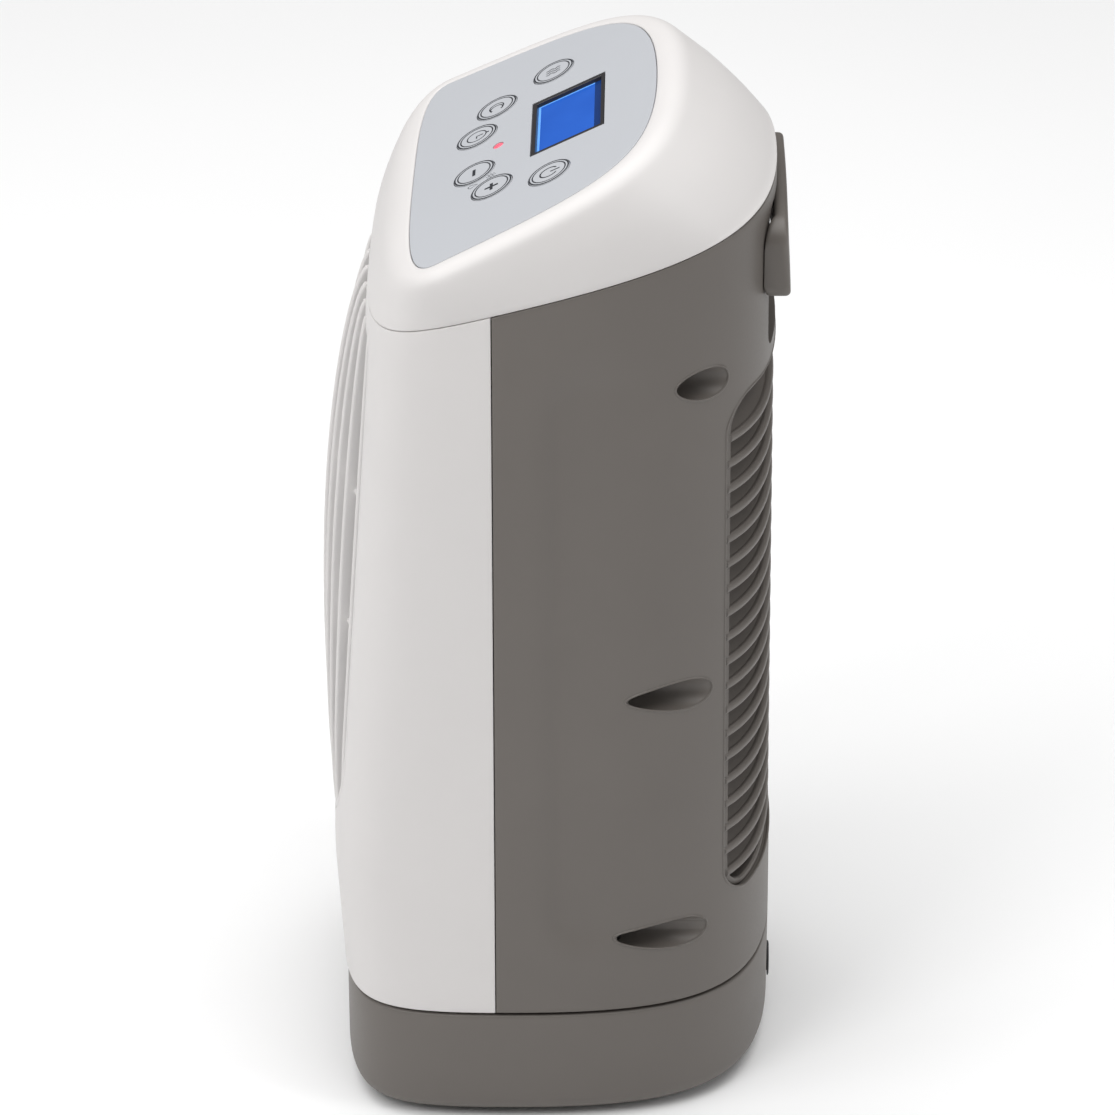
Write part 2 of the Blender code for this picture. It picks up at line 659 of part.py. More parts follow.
def make_rear_shell(swing_axis):
    shell = shell_volume("rear_shell", True, 0.0, TAUPE, swing_axis)
    cavity = shell_volume("rear_cavity", True, WALL)
    for place, x, z in side_places():
        boss = cylinder(f"rear_boss_{place}", (x, z), BOSS_RADIUS, WIDEST_Y + POST_SETBACK, 75 * MM,
                        along="y", sides=12)
        cut(cavity, boss)
    pocket_wall = box("recess_wall", (-RECESS_HALF_WIDTH - WALL, RECESS_FLOOR_Y - WALL, RECESS_BOTTOM - WALL),
                      (RECESS_HALF_WIDTH + WALL, 90 * MM, RECESS_TOP + WALL))
    cut(cavity, pocket_wall)
    cut(shell, cavity)
    for place, x, z in side_places():
        cut(shell, cylinder(f"pocket_{place}", (x, z), POCKET_RADIUS, POCKET_FLOOR_Y, 90 * MM,
                            along="y", sides=20))
        cut(shell, cylinder(f"rear_bore_{place}", (x, z), SCREW_SHANK_RADIUS + GAP, -40 * MM, 40 * MM,
                            along="y", sides=8))
        # The boss is hollow from the seam to a short floor under the screw's head.
        cut(shell, cylinder(f"boss_relief_{place}", (x, z), 5 * MM, -40 * MM,
                            POCKET_FLOOR_Y - BOSS_FLOOR, along="y", sides=12))
    recess = box("hand_recess", (-RECESS_HALF_WIDTH, RECESS_FLOOR_Y, RECESS_BOTTOM),
                 (RECESS_HALF_WIDTH, 95 * MM, RECESS_TOP))
    edge = recess.modifiers.new("edge", "BEVEL")
    edge.width = 6 * MM
    edge.segments = 2
    cut(shell, recess)
    rings = [[(x, y, z) for x, z in inlet_outline(0.0)] for y in (30 * MM, 95 * MM)]
    cut(shell, loft("inlet_opening", rings))
    return shell


def make_shell_screws(swing_axis):
    for place, x, z in side_places():
        make_screw(f"shell_screw_{place}", (x, POCKET_FLOOR_Y + GAP, z), 46 * MM, swing_axis, (0, -1, 0))


# Outlet grille -------------------------------------------------------------------------------

def outlet_half_width(z):
    below = max(0.0, GRILLE_BOTTOM_Z + GRILLE_BOTTOM_CORNER - z)
    inner = GRILLE_HALF_WIDTH - GRILLE_BOTTOM_CORNER
    return inner + math.sqrt(max(0.0, GRILLE_BOTTOM_CORNER ** 2 - below ** 2))


def outlet_edge_z(x):
    """The height of the outlet's lower edge at a place across the width."""
    past = max(0.0, abs(x) - (GRILLE_HALF_WIDTH - GRILLE_BOTTOM_CORNER))
    return GRILLE_BOTTOM_Z + GRILLE_BOTTOM_CORNER - math.sqrt(GRILLE_BOTTOM_CORNER ** 2 - past ** 2)


def outlet_outline(distance):
    """The outlet's outline seen from the front, as (x, z), anticlockwise from the middle of its foot."""
    right = [(0, GRILLE_BOTTOM_Z)]
    steps = 6
    for i in range(steps + 1):
        turn = math.radians(90 * i / steps)
        right.append((GRILLE_HALF_WIDTH - GRILLE_BOTTOM_CORNER * (1 - math.sin(turn)),
                      GRILLE_BOTTOM_Z + GRILLE_BOTTOM_CORNER * (1 - math.cos(turn))))
    for i in range(4):
        turn = math.pi / 6 * i
        right.append((GRILLE_HALF_WIDTH - GRILLE_TOP_CORNER * (1 - math.cos(turn)),
                      GRILLE_TOP_Z - GRILLE_TOP_CORNER * (1 - math.sin(turn))))
    right += [(GRILLE_HALF_WIDTH / 2, GRILLE_TOP_Z), (0, GRILLE_TOP_Z)]
    outline = right + [(-x, z) for x, z in reversed(right[1:-1])]
    return inset(outline, distance) if distance else outline


def shell_front_y(x, z):
    return edge_y(tower_outline(z), x, False)


def swell_y(x, z):
    """The swollen front face of the outlet grille."""
    rise = min(1.0, max(0.0, (z - GRILLE_BOTTOM_Z) / (GRILLE_TOP_Z - GRILLE_BOTTOM_Z)))
    swell = GRILLE_SWELL * math.sqrt(max(0.0, math.sin(math.pi * rise ** SWELL_SKEW)))
    across = min(1.0, abs(x) / (outlet_half_width(z) - SWELL_MARGIN))
    return shell_front_y(x, z) - swell * (1 - across ** SWELL_POWER)


def make_front_grille(swing_axis):
    outer = outlet_outline(GAP)
    inner = outlet_outline(GAP + GRILLE_FRAME_WIDTH)
    rings = []
    for (x1, z1), (x2, z2) in zip(outer, inner):
        front1 = shell_front_y(x1, z1)
        front2 = shell_front_y(x2, z2)
        rings.append([(x1, front1, z1), (x2, front2, z2),
                      (x2, front2 + GRILLE_FRAME_DEPTH, z2), (x1, front1 + GRILLE_FRAME_DEPTH, z1)])
    grille = loft("front_grille", rings, WHITE, swing_axis, capped=False, looped=True)
    half = SLAT_THICKNESS / 2
    for i in range(-SLATS_EACH_SIDE, SLATS_EACH_SIDE + 1):
        x = i * SLAT_PITCH
        low = outlet_edge_z(abs(x) + 0.6 * MM) + 1.5 * MM
        steps = 7
        rings = []
        for step in range(steps + 1):
            z = mix(low, GRILLE_TOP_Z - 1.2 * MM, step / steps)
            face = min(swell_y(x, z), shell_front_y(x, z) + 0.6 * MM)
            back = shell_front_y(x, z) + SLAT_DEPTH
            rings.append([(x - half, face, z), (x + half, face, z), (x + half, back, z), (x - half, back, z)])
        join(grille, loft(f"slat_{i}", rings))
    for number, z in enumerate(CROSSBAR_Z):
        rings = []
        steps = 6
        reach = outlet_half_width(z) - 1.2 * MM
        for step in range(steps + 1):
            x = mix(-reach, reach, step / steps)
            face = shell_front_y(x, z) + 1.8 * MM
            rings.append([(x, face, z - half), (x, face + 3 * MM, z - half),
                          (x, face + 3 * MM, z + half), (x, face, z + half)])
        join(grille, loft(f"crossbar_{number}", rings))
    return grille


# Inlet grille --------------------------------------------------------------------------------

def inlet_outline(distance, breaks=()):
    """The inlet's rounded rectangle as (x, z), anticlockwise, its sides divided at the heights in breaks."""
    points = []
    for sx, sz, start in ((1, 1, 0), (-1, 1, 90), (-1, -1, 180), (1, -1, 270)):
        middle_x = sx * (INLET_HALF_WIDTH - INLET_CORNER)
        middle_z = (INLET_TOP - INLET_CORNER) if sz > 0 else (INLET_BOTTOM + INLET_CORNER)
        for i in range(4):
            turn = math.radians(start + 30 * i)
            points.append((middle_x + INLET_CORNER * math.cos(turn),
                           middle_z + INLET_CORNER * math.sin(turn)))
        if start in (90, 270):
            points += [(sx * INLET_HALF_WIDTH, z) for z in (breaks[::-1] if sx < 0 else breaks)]
            continue
        # The long top and bottom edges need points of their own to follow the rear's curve.
        for share in (0.5, 0, -0.5):
            points.append((middle_x * share, middle_z + sz * INLET_CORNER))
    return inset(points, distance) if distance else points


def shell_rear_y(x, z):
    return edge_y(tower_outline(z), x, True)


def make_inlet_grille(swing_axis):
    half = FIN_THICKNESS / 2
    # Each stretch of the side rails carries two fins; the breaks fall in the gaps between fins.
    gap_middle = half + FIN_DROP + (FIN_PITCH - FIN_THICKNESS - FIN_DROP) / 2
    breaks = [FIRST_FIN_Z + FIN_PITCH * i + gap_middle for i in range(1, FIN_COUNT - 1, 2)]
    outer = inlet_outline(2 * GAP, breaks)
    inner = inlet_outline(2 * GAP + INLET_RAIL, breaks)
    rings = []
    for (x1, z1), (x2, z2) in zip(outer, inner):
        rear1 = shell_rear_y(x1, z1) - INLET_SETBACK
        rear2 = shell_rear_y(x2, z2) - INLET_SETBACK
        rings.append([(x1, rear1, z1), (x1, rear1 - FIN_DEPTH, z1),
                      (x2, rear2 - FIN_DEPTH, z2), (x2, rear2, z2)])
    grille = loft("rear_inlet_grille", rings, TAUPE, swing_axis, capped=False, looped=True)
    steps = 4
    for i in range(FIN_COUNT):
        z = FIRST_FIN_Z + FIN_PITCH * i
        clear = max(0.0, INLET_CORNER - min(z - half - INLET_BOTTOM, INLET_TOP - z - half - FIN_DROP))
        reach = INLET_HALF_WIDTH - 1.2 * MM - INLET_CORNER + math.sqrt(INLET_CORNER ** 2 - clear ** 2)
        rings = []
        for step in range(steps + 1):
            x = reach * math.sin(math.radians(mix(-75, 75, step / steps))) / math.sin(math.radians(75))
            rear = shell_rear_y(x, z) - INLET_SETBACK - 0.8 * MM
            front = rear - FIN_DEPTH + 2.2 * MM
            rings.append([(x, rear, z - half), (x, rear, z + half),
                          (x, front, z + half + FIN_DROP), (x, front, z - half + FIN_DROP)])
        join(grille, loft(f"fin_{i}", rings))
    rear = shell_rear_y(0, INLET_TOP) - INLET_SETBACK
    spine = box("inlet_spine", (-1.5 * MM, rear - FIN_DEPTH + 0.8 * MM, INLET_BOTTOM + 1.6 * MM),
                (1.5 * MM, rear - 4 * MM, INLET_TOP - 1.6 * MM))
    join(grille, spine)
    return grille


# Carry handle --------------------------------------------------------------------------------

def make_handle(swing_axis):
    """A slightly bowed bar across the hand recess, with a foot at each end that meets the rear wall."""
    middle_z = (HANDLE_BOTTOM + HANDLE_TOP) / 2
    outer = []
    inner = []
    steps = 8
    for i in range(steps + 1):
        x = mix(HANDLE_HALF_WIDTH, -HANDLE_HALF_WIDTH, i / steps)
        bow = HANDLE_BOW * (x / HANDLE_HALF_WIDTH) ** 2
        outer.append((x, HANDLE_OUTER_Y - bow))
    foot_x = RECESS_HALF_WIDTH + 1.5 * MM
    wall = [tower_outline(z) for z in (HANDLE_BOTTOM, HANDLE_TOP)]
    for x in (-HANDLE_HALF_WIDTH, -foot_x):
        inner.append((x, max(edge_y(outline, x, True) for outline in wall) + 2 * GAP))
    for x in (-foot_x + 2 * MM, 0, foot_x - 2 * MM):
        bow = HANDLE_BOW * (x / HANDLE_HALF_WIDTH) ** 2
        inner.append((x, HANDLE_OUTER_Y - HANDLE_THICKNESS - bow))
    for x in (foot_x, HANDLE_HALF_WIDTH):
        inner.append((x, max(edge_y(outline, x, True) for outline in wall) + 2 * GAP))
    handle = prism("carry_handle", outer + inner, HANDLE_BOTTOM - middle_z, HANDLE_TOP - middle_z, TAUPE,
                   swing_axis, (0, 0, middle_z))
    edge = handle.modifiers.new("edge", "BEVEL")
    edge.width = 2 * MM
    edge.segments = 2
    edge.limit_method = "ANGLE"
    edge.angle_limit = math.radians(50)
    return handle


# Top cap and control panel -------------------------------------------------------------------

OVERLAY_FRONT = ((0, -54.9 * MM), (50 * MM, -55 * MM), (75.5 * MM, -54 * MM), (73.9 * MM, -43 * MM))
OVERLAY_SIDE = ((73.9 * MM, -43 * MM), (69.5 * MM, 17 * MM), (69 * MM, 37.1 * MM), (0, 37.1 * MM))


def overlay_outline(distance=0.0, steps=QUARTER_STEPS):
    """The overlay's outline in the panel's own plane, as (x, v) with v up the slope."""
    outline = mirrored(half_outline(OVERLAY_FRONT, OVERLAY_SIDE, steps))
    return inset(outline, distance) if distance else outline


def on_panel(x, v, height=0.0):
    """A point of the panel's plane in world coordinates, raised along the panel's normal."""
    return (x, v * math.cos(PANEL_TILT) - height * math.sin(PANEL_TILT),
            PANEL_Z + v * math.sin(PANEL_TILT) + height * math.cos(PANEL_TILT))


def cap_rings():
    """Rings from below the seam up the wall, round the top edge and in to the overlay's recess."""
    rim = [Vector(on_panel(x, v)) for x, v in overlay_outline(-GAP)]
    edge = [Vector(on_panel(x, v)) for x, v in overlay_outline(-CAP_BEZEL)]
    nominal = tower_outline(CAP_SEAM_Z)
    seam = []
    for i, (x, y) in enumerate(nominal):
        local_x, local_y = tower_outline(seam_z(y))[i]
        seam.append(Vector((local_x, local_y, seam_z(local_y) + GAP / 2)))
    skirt = [(x, y, z - CAP_TRIM) for x, y, z in seam]
    rings = [skirt, seam]
    for share in (0.2, 0.6):
        ring = []
        for low, high in zip(seam, edge):
            outward = Vector((low.x, low.y, 0)).normalized()
            bulge = mix(CAP_BULGE, CAP_REAR_BULGE, max(0.0, outward.y)) * 4 * share * (1 - share)
            ring.append(low.lerp(high, share) + outward * bulge)
        rings.append(ring)
    for t in (0, 1 / 3, 2 / 3, 1):
        ring = []
        for below, corner, inner in zip(rings[3], edge, rim):
            start = corner + (below - corner).normalized() * CAP_EDGE_RADIUS
            end = corner + (inner - corner).normalized() * CAP_EDGE_RADIUS
            ring.append(start * (1 - t) ** 2 + corner * (2 * t * (1 - t)) + end * t ** 2)
        rings.append(ring)
    rings.append(rim)
    rings.append([on_panel(x, v, -PANEL_RECESS) for x, v in overlay_outline(-GAP)])
    return rings


def make_cap(swing_axis, panel):
    rings = cap_rings()
    work = bmesh.new()
    rows = [[work.verts.new(point) for point in ring] for ring in rings]
    for lower, upper in zip(rows, rows[1:]):
        for i in range(len(lower)):
            j = (i + 1) % len(lower)
            work.faces.new((lower[i], lower[j], upper[j], upper[i]))
    work.faces.new(rows[-1])
    cap = add_object("top_cap", mesh_from("top_cap", work), WHITE, swing_axis)
    wall = cap.modifiers.new("wall", "SOLIDIFY")
    wall.thickness = WALL
    wall.offset = -1
    wall.use_even_offset = True
    # The cap's lower rim is cut flat on the sloping seam.
    trim = box("cap_trim", (-0.1, -0.1, -20 * MM), (0.1, 0.1, GAP / 2), location=(0, 0, CAP_SEAM_Z))
    trim.rotation_euler = (math.atan(CAP_SEAM_SLOPE), 0, 0)
    cut(cap, trim)
    for name, (x, v) in KEYS.items():
        cut(cap, cylinder(f"cap_hole_{name}", (x, v), KEY_RADIUS + GAP, -8 * MM, 5 * MM, parent=panel))
    cut(cap, box("cap_window", (-LCD_HALF_X + 0.5 * MM, LCD_V - LCD_HALF_V + 0.5 * MM, -8 * MM),
                 (LCD_HALF_X - 0.5 * MM, LCD_V + LCD_HALF_V - 0.5 * MM, 5 * MM), parent=panel))
    cut(cap, cylinder("cap_led_hole", (0, LED_V), LED_RADIUS + GAP, -8 * MM, 5 * MM, parent=panel, sides=10))
    return cap


def make_panel_parts(panel):
    overlay = prism("control_overlay", overlay_outline(), -OVERLAY_THICKNESS, 0, SILVER, panel)
    for name, (x, v) in KEYS.items():
        cut(overlay, cylinder(f"overlay_hole_{name}", (x, v), KEY_RADIUS + GAP, -5 * MM, 5 * MM,
                              parent=panel))
    cut(overlay, box("overlay_window", (-LCD_HALF_X - GAP, LCD_V - LCD_HALF_V - GAP, -5 * MM),
                     (LCD_HALF_X + GAP, LCD_V + LCD_HALF_V + GAP, 5 * MM), parent=panel))
    cut(overlay, cylinder("overlay_led_hole", (0, LED_V), LED_RADIUS + GAP, -5 * MM, 5 * MM,
                          parent=panel, sides=10))
    box("lcd_window", (-LCD_HALF_X, LCD_V - LCD_HALF_V, -OVERLAY_THICKNESS),
        (LCD_HALF_X, LCD_V + LCD_HALF_V, 0), LCD_BLUE, panel)
    box("lcd_module", (-LCD_HALF_X + 1 * MM, LCD_V - LCD_HALF_V + 1 * MM, -9.5 * MM),
        (LCD_HALF_X - 1 * MM, LCD_V + LCD_HALF_V - 1 * MM, -PANEL_RECESS), BLACK, panel)
    turned("led_lens", ((0, 0.1 * MM), (LED_RADIUS, -0.3 * MM), (LED_RADIUS, -9 * MM), (0, -9 * MM)),
           LED_RED, panel, (0, LED_V, 0), steps=10)
    board = box("control_board", (-52 * MM, -40 * MM, BOARD_TOP - BOARD_THICKNESS),
                (52 * MM, 22 * MM, BOARD_TOP),
                BOARD, panel)
    key_bottom = BOARD_TOP + SWITCH_HEIGHT + KEY_TRAVEL + GAP
    flange_top = -PANEL_RECESS - WALL - GAP
    for name, (x, v) in KEYS.items():
        switch = box(f"switch_{name}", (x - 3 * MM, v - 3 * MM, BOARD_TOP - 0.5 * MM),
                     (x + 3 * MM, v + 3 * MM, BOARD_TOP + SWITCH_HEIGHT), parent=panel)
        join(board, switch)
        profile = ((0, 0.3 * MM), (KEY_RADIUS - 0.5 * MM, 0.3 * MM), (KEY_RADIUS, -0.1 * MM),
                   (KEY_RADIUS, flange_top), (KEY_FLANGE_RADIUS, flange_top),
                   (KEY_FLANGE_RADIUS, key_bottom), (0, key_bottom))
        turned(name, profile, KEY_FACE, panel, (x, v, 0), steps=14)


# Fan, heater and power board -----------------------------------------------------------------

def wall_prism(name, path, thickness, z_low, z_high):
    """A wall of constant thickness that stands on a plan path."""
    left = []
    right = []
    for i, point in enumerate(path):
        before = Vector(path[max(i - 1, 0)])
        after = Vector(path[min(i + 1, len(path) - 1)])
        along = (after - before).normalized()
        side = Vector((-along.y, along.x)) * thickness / 2
        left.append(Vector(point) + side)
        right.append(Vector(point) - side)
    return prism(name, [tuple(p) for p in left + right[::-1]], z_low, z_high)


def make_fan_housing(swing_axis):
    """Top and bottom plates joined by the scroll on the left and the tongue on the right."""
    wall = 2 * MM
    rear = 50 * MM
    plate_outline = ((-46 * MM, DUCT_FRONT_Y), (46 * MM, DUCT_FRONT_Y), (46 * MM, 20 * MM),
                     (28 * MM, rear), (-36 * MM, rear), (-46 * MM, 44 * MM))
    housing = prism("fan_housing", plate_outline, HOUSING_BOTTOM, HOUSING_BOTTOM + HOUSING_PLATE,
                    BLACK, swing_axis)
    join(housing, prism("housing_top", plate_outline, HOUSING_TOP - HOUSING_PLATE, HOUSING_TOP))
    low = HOUSING_BOTTOM + HOUSING_PLATE / 2
    high = HOUSING_TOP - HOUSING_PLATE / 2
    scroll = []
    for i in range(7):
        turn = math.radians(mix(122, 215, i / 6))
        radius = IMPELLER_RADIUS + mix(4, 12, i / 6) * MM
        scroll.append((FAN_X + radius * math.cos(turn), FAN_Y + radius * math.sin(turn)))
    scroll.append((-DUCT_HALF_WIDTH, -15 * MM))
    scroll.append((-DUCT_HALF_WIDTH, DUCT_FRONT_Y + 1 * MM))
    join(housing, wall_prism("scroll_wall", scroll, wall, low, high))
    tongue = ((FAN_X + 35 * MM, FAN_Y + 4 * MM), (FAN_X + 30 * MM, FAN_Y - 10 * MM),
              (DUCT_HALF_WIDTH, -8 * MM), (DUCT_HALF_WIDTH, DUCT_FRONT_Y + 1 * MM))
    join(housing, wall_prism("tongue_wall", tongue, wall, low, high))
    cut(housing, cylinder("housing_shaft_hole", (FAN_X, FAN_Y), 7 * MM, 90 * MM, 110 * MM, sides=12))
    cut(housing, cylinder("housing_bearing_hole", (FAN_X, FAN_Y), 7 * MM, 260 * MM, 290 * MM, sides=16))
    return housing


def make_fan(swing_axis, fan_axis):
    blade_middle = IMPELLER_RADIUS - 5 * MM
    plate = 1.5 * MM
    impeller = cylinder("impeller", (0, 0), IMPELLER_RADIUS, IMPELLER_BOTTOM, IMPELLER_BOTTOM + plate,
                        BLACK, fan_axis, sides=16)
    middle = (IMPELLER_BOTTOM + IMPELLER_TOP) / 2
    middle_disc = cylinder("impeller_middle", (0, 0), IMPELLER_RADIUS, middle - plate / 2,
                           middle + plate / 2, parent=fan_axis, sides=16)
    top_disc = cylinder("impeller_top", (0, 0), IMPELLER_RADIUS, IMPELLER_TOP - plate, IMPELLER_TOP,
                        parent=fan_axis, sides=16)
    join(impeller, middle_disc, top_disc)
    for i in range(BLADE_COUNT):
        turn = 2 * math.pi * i / BLADE_COUNT
        outline = []
        for radius, lead, side in ((blade_middle - 4 * MM, -0.10, -1), (blade_middle + 4.4 * MM, 0.08, -1),
                                   (blade_middle + 4.4 * MM, 0.08, 1), (blade_middle - 4 * MM, -0.10, 1)):
            angle = turn + lead + side * 0.5 * MM / radius
            outline.append((radius * math.cos(angle), radius * math.sin(angle)))
        blade = prism(f"blade_{i}", outline, IMPELLER_BOTTOM + plate / 2, IMPELLER_TOP - plate / 2,
                      parent=fan_axis)
        join(impeller, blade)
    cut(impeller, cylinder("impeller_bore", (0, 0), SHAFT_RADIUS + GAP, 90 * MM, 290 * MM,
                           parent=fan_axis, sides=12))
    cylinder("impeller_shaft", (0, 0), SHAFT_RADIUS, FAN_MOTOR_BOTTOM + 8 * MM, 281 * MM, STEEL, fan_axis,
             sides=12)

    motor_top = HOUSING_BOTTOM - GAP
    bore = SHAFT_RADIUS + GAP
    profile = ((0, FAN_MOTOR_BOTTOM + 7 * MM), (bore, FAN_MOTOR_BOTTOM + 7 * MM), (bore, motor_top),
               (FAN_MOTOR_RADIUS - 8 * MM, motor_top), (FAN_MOTOR_RADIUS, motor_top - 8 * MM),
               (FAN_MOTOR_RADIUS, FAN_MOTOR_BOTTOM), (0, FAN_MOTOR_BOTTOM))
    turned("fan_motor", profile, STEEL, swing_axis, (FAN_X, FAN_Y, 0), steps=20)
    bearing_profile = ((bore, 279 * MM), (9 * MM, 279 * MM), (9 * MM, HOUSING_TOP + GAP),
                       (7 * MM - GAP, HOUSING_TOP + GAP), (7 * MM - GAP, IMPELLER_TOP + 2 * MM),
                       (bore, IMPELLER_TOP + 2 * MM))
    turned("fan_top_bearing", bearing_profile, NATURAL, swing_axis, (FAN_X, FAN_Y, 0))


def make_heater(swing_axis):
    low = (-HEATER_HALF_WIDTH, HEATER_FRONT_Y, HEATER_BOTTOM)
    high = (HEATER_HALF_WIDTH, HEATER_REAR_Y, HEATER_TOP)
    frame = box("heater_frame", low, high, BLACK, swing_axis)
    # A baffle round the frame closes the space beside it, so all the air passes the fins.
    join(frame, box("heater_baffle", (-BAFFLE_HALF_WIDTH, BAFFLE_FRONT_Y, BAFFLE_BOTTOM),
                    (BAFFLE_HALF_WIDTH, BAFFLE_FRONT_Y + BAFFLE_THICKNESS, BAFFLE_TOP)))
    window_low = HEATER_BOTTOM + HEATER_END
    window_high = HEATER_TOP - HEATER_END
    cut(frame, box("heater_window", (-HEATER_WINDOW, HEATER_FRONT_Y - 5 * MM, window_low),
                   (HEATER_WINDOW, HEATER_REAR_Y + 5 * MM, window_high)))
    bar_width = 4 * MM
    bank_width = (2 * HEATER_WINDOW - 2 * bar_width - 6 * GAP) / 3
    left = -HEATER_WINDOW + GAP
    low_z = window_low + GAP
    high_z = window_high - GAP
    front = HEATER_FRONT_Y + 2 * MM
    rear = HEATER_REAR_Y - 2 * MM
    for i in range(1, 4):
        bank = box(f"heater_fin_bank_{i}", (left, front, low_z), (left + bank_width, rear, high_z),
                   ALUMINIUM, swing_axis)
        groove_count = 9
        for k in range(groove_count):
            z = mix(low_z, high_z, (k + 0.5) / groove_count)
            groove = box(f"fin_groove_{i}_{k}", (left + 1 * MM, front - 5 * MM, z - 6 * MM),
                         (left + bank_width - 1 * MM, front + 4.5 * MM, z + 6 * MM))
            cut(bank, groove)
        left += bank_width + GAP
        if i < 3:
            box(f"heater_ceramic_bar_{i}", (left, front, low_z), (left + bar_width, rear, high_z),
                CERAMIC, swing_axis)
            left += bar_width + GAP
    turned("thermal_cutout", ((0, 5 * MM), (CUTOUT_RADIUS, 5 * MM), (CUTOUT_RADIUS, 0), (0, 0)), BLACK,
           swing_axis, (*CUTOUT_PLACE, HEATER_TOP + GAP), steps=14)


def make_power_board(swing_axis):
    low = HOUSING_TOP + 6 * MM
    board = box("power_board", (12 * MM, -34 * MM, low), (46 * MM, 36 * MM, low + BOARD_THICKNESS), BOARD,
                swing_axis)
    blocks = (((16, -30), (32, -12), 15), ((16, -6), (28, 10), 18), ((32, 0), (43, 20), 11))
    for i, ((x1, y1), (x2, y2), height) in enumerate(blocks):
        block = box(f"board_block_{i}", (x1 * MM, y1 * MM, low + 1 * MM),
                    (x2 * MM, y2 * MM, low + height * MM))
        join(board, block)


def build():
    swing_axis = add_empty("swing_axis", (0, 0, 0))
    pinion_axis = add_empty("pinion_axis", (0, PINION_Y, 0))
    fan_axis = add_empty("fan_axis", (FAN_X, FAN_Y, 0), swing_axis)
    panel = add_empty("panel_frame", (0, 0, PANEL_Z), swing_axis, PANEL_TILT)
    make_base_shell()
    make_base_plate()
    make_base_fittings()
    make_swing_drive(swing_axis, pinion_axis)
    make_tower_floor(swing_axis)
    make_front_shell(swing_axis)
    make_rear_shell(swing_axis)
    make_shell_screws(swing_axis)
    make_front_grille(swing_axis)
    make_inlet_grille(swing_axis)
    make_handle(swing_axis)
    make_cap(swing_axis, panel)
    make_panel_parts(panel)
    make_fan_housing(swing_axis)
    make_fan(swing_axis, fan_axis)
    make_heater(swing_axis)
    make_power_board(swing_axis)


build()
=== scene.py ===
"""Looks for the ceramic tower fan heater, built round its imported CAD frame. Metres, +Z up, front at -Y."""

import json
import math

import bmesh
import bpy
import numpy as np
from mathutils import Matrix, Vector
from mathutils.bvhtree import BVHTree


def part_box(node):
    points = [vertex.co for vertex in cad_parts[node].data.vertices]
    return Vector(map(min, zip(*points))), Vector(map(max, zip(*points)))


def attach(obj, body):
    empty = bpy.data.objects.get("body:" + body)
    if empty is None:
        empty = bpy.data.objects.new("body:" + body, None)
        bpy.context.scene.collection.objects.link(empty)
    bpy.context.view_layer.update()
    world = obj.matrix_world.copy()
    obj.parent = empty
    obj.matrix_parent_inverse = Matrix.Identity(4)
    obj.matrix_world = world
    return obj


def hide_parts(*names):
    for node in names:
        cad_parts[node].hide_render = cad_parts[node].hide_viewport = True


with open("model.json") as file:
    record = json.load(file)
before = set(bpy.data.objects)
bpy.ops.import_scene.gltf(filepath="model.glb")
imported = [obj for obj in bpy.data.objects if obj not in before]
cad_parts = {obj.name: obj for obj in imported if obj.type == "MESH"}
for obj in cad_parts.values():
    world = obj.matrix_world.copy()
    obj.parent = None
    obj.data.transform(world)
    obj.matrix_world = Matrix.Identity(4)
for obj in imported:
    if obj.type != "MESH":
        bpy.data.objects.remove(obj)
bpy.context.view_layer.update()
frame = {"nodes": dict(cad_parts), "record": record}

MM = 0.001
GAP = 0.3 * MM
WALL = 2.4 * MM
BASE_TOP = 45 * MM
TOWER_BOTTOM = 46.3 * MM
WIDEST_Y = -20.4 * MM
CREST_Z = 95 * MM
CREST_EASE = 9 * MM
SEAM_Z = 325 * MM
SEAM_SLOPE = 0.262
FRONT_HIGH = -64 * MM
FRONT_TOP_Z = SEAM_Z + SEAM_SLOPE * FRONT_HIGH
PANEL_Z = 355 * MM
PANEL_TILT = math.atan(0.5)
KEY_RADIUS = 7.6 * MM
KEYS = {"key_mode": (-41.8, -2.3), "key_sleep": (-32.5, -23.9), "key_timer": (-14.9, -31.0),
        "key_minus": (14.9, -31.0), "key_plus": (32.5, -23.9), "key_power": (41.8, -2.3)}


# Mesh helpers ------------------------------

def mix(a, b, t):
    return a + (b - a) * t


def mm(*points):
    """Points given in millimetres, in metres."""
    return [tuple(c * MM for c in point) for point in points]


def smooth(t):
    t = min(1.0, max(0.0, t))
    return t * t * (3 - 2 * t)


def add(name, mesh):
    made = bpy.data.objects.new(name, mesh)
    bpy.context.scene.collection.objects.link(made)
    return made


def shade(obj, degrees=32):
    obj.data.shade_smooth()
    obj.data.set_sharp_from_angle(angle=math.radians(degrees))
    return obj


def from_faces(name, points, faces):
    mesh = bpy.data.meshes.new(name)
    mesh.from_pydata([tuple(map(float, p)) for p in points], [], faces)
    work = bmesh.new()
    work.from_mesh(mesh)
    bmesh.ops.recalc_face_normals(work, faces=work.faces)
    work.to_mesh(mesh)
    work.free()
    return add(name, mesh)


def loft(name, rings, capped=True, looped=False):
    """Skins closed rings of equal length."""
    count = len(rings[0])
    points = [p for ring in rings for p in ring]
    faces = []
    rows = len(rings)
    for r in range(rows if looped else rows - 1):
        a, b = r * count, (r + 1) % rows * count
        faces += [(a + i, a + (i + 1) % count, b + (i + 1) % count, b + i) for i in range(count)]
    if capped and not looped:
        faces.append(tuple(range(count))[::-1])
        faces.append(tuple(range((rows - 1) * count, rows * count)))
    return from_faces(name, points, faces)


def prism_z(name, outline, low, high):
    return loft(name, [[(x, y, z) for x, y in outline] for z in (low, high)])


def prism_y(name, outline, low, high):
    return loft(name, [[(x, y, z) for x, z in outline] for y in (low, high)])


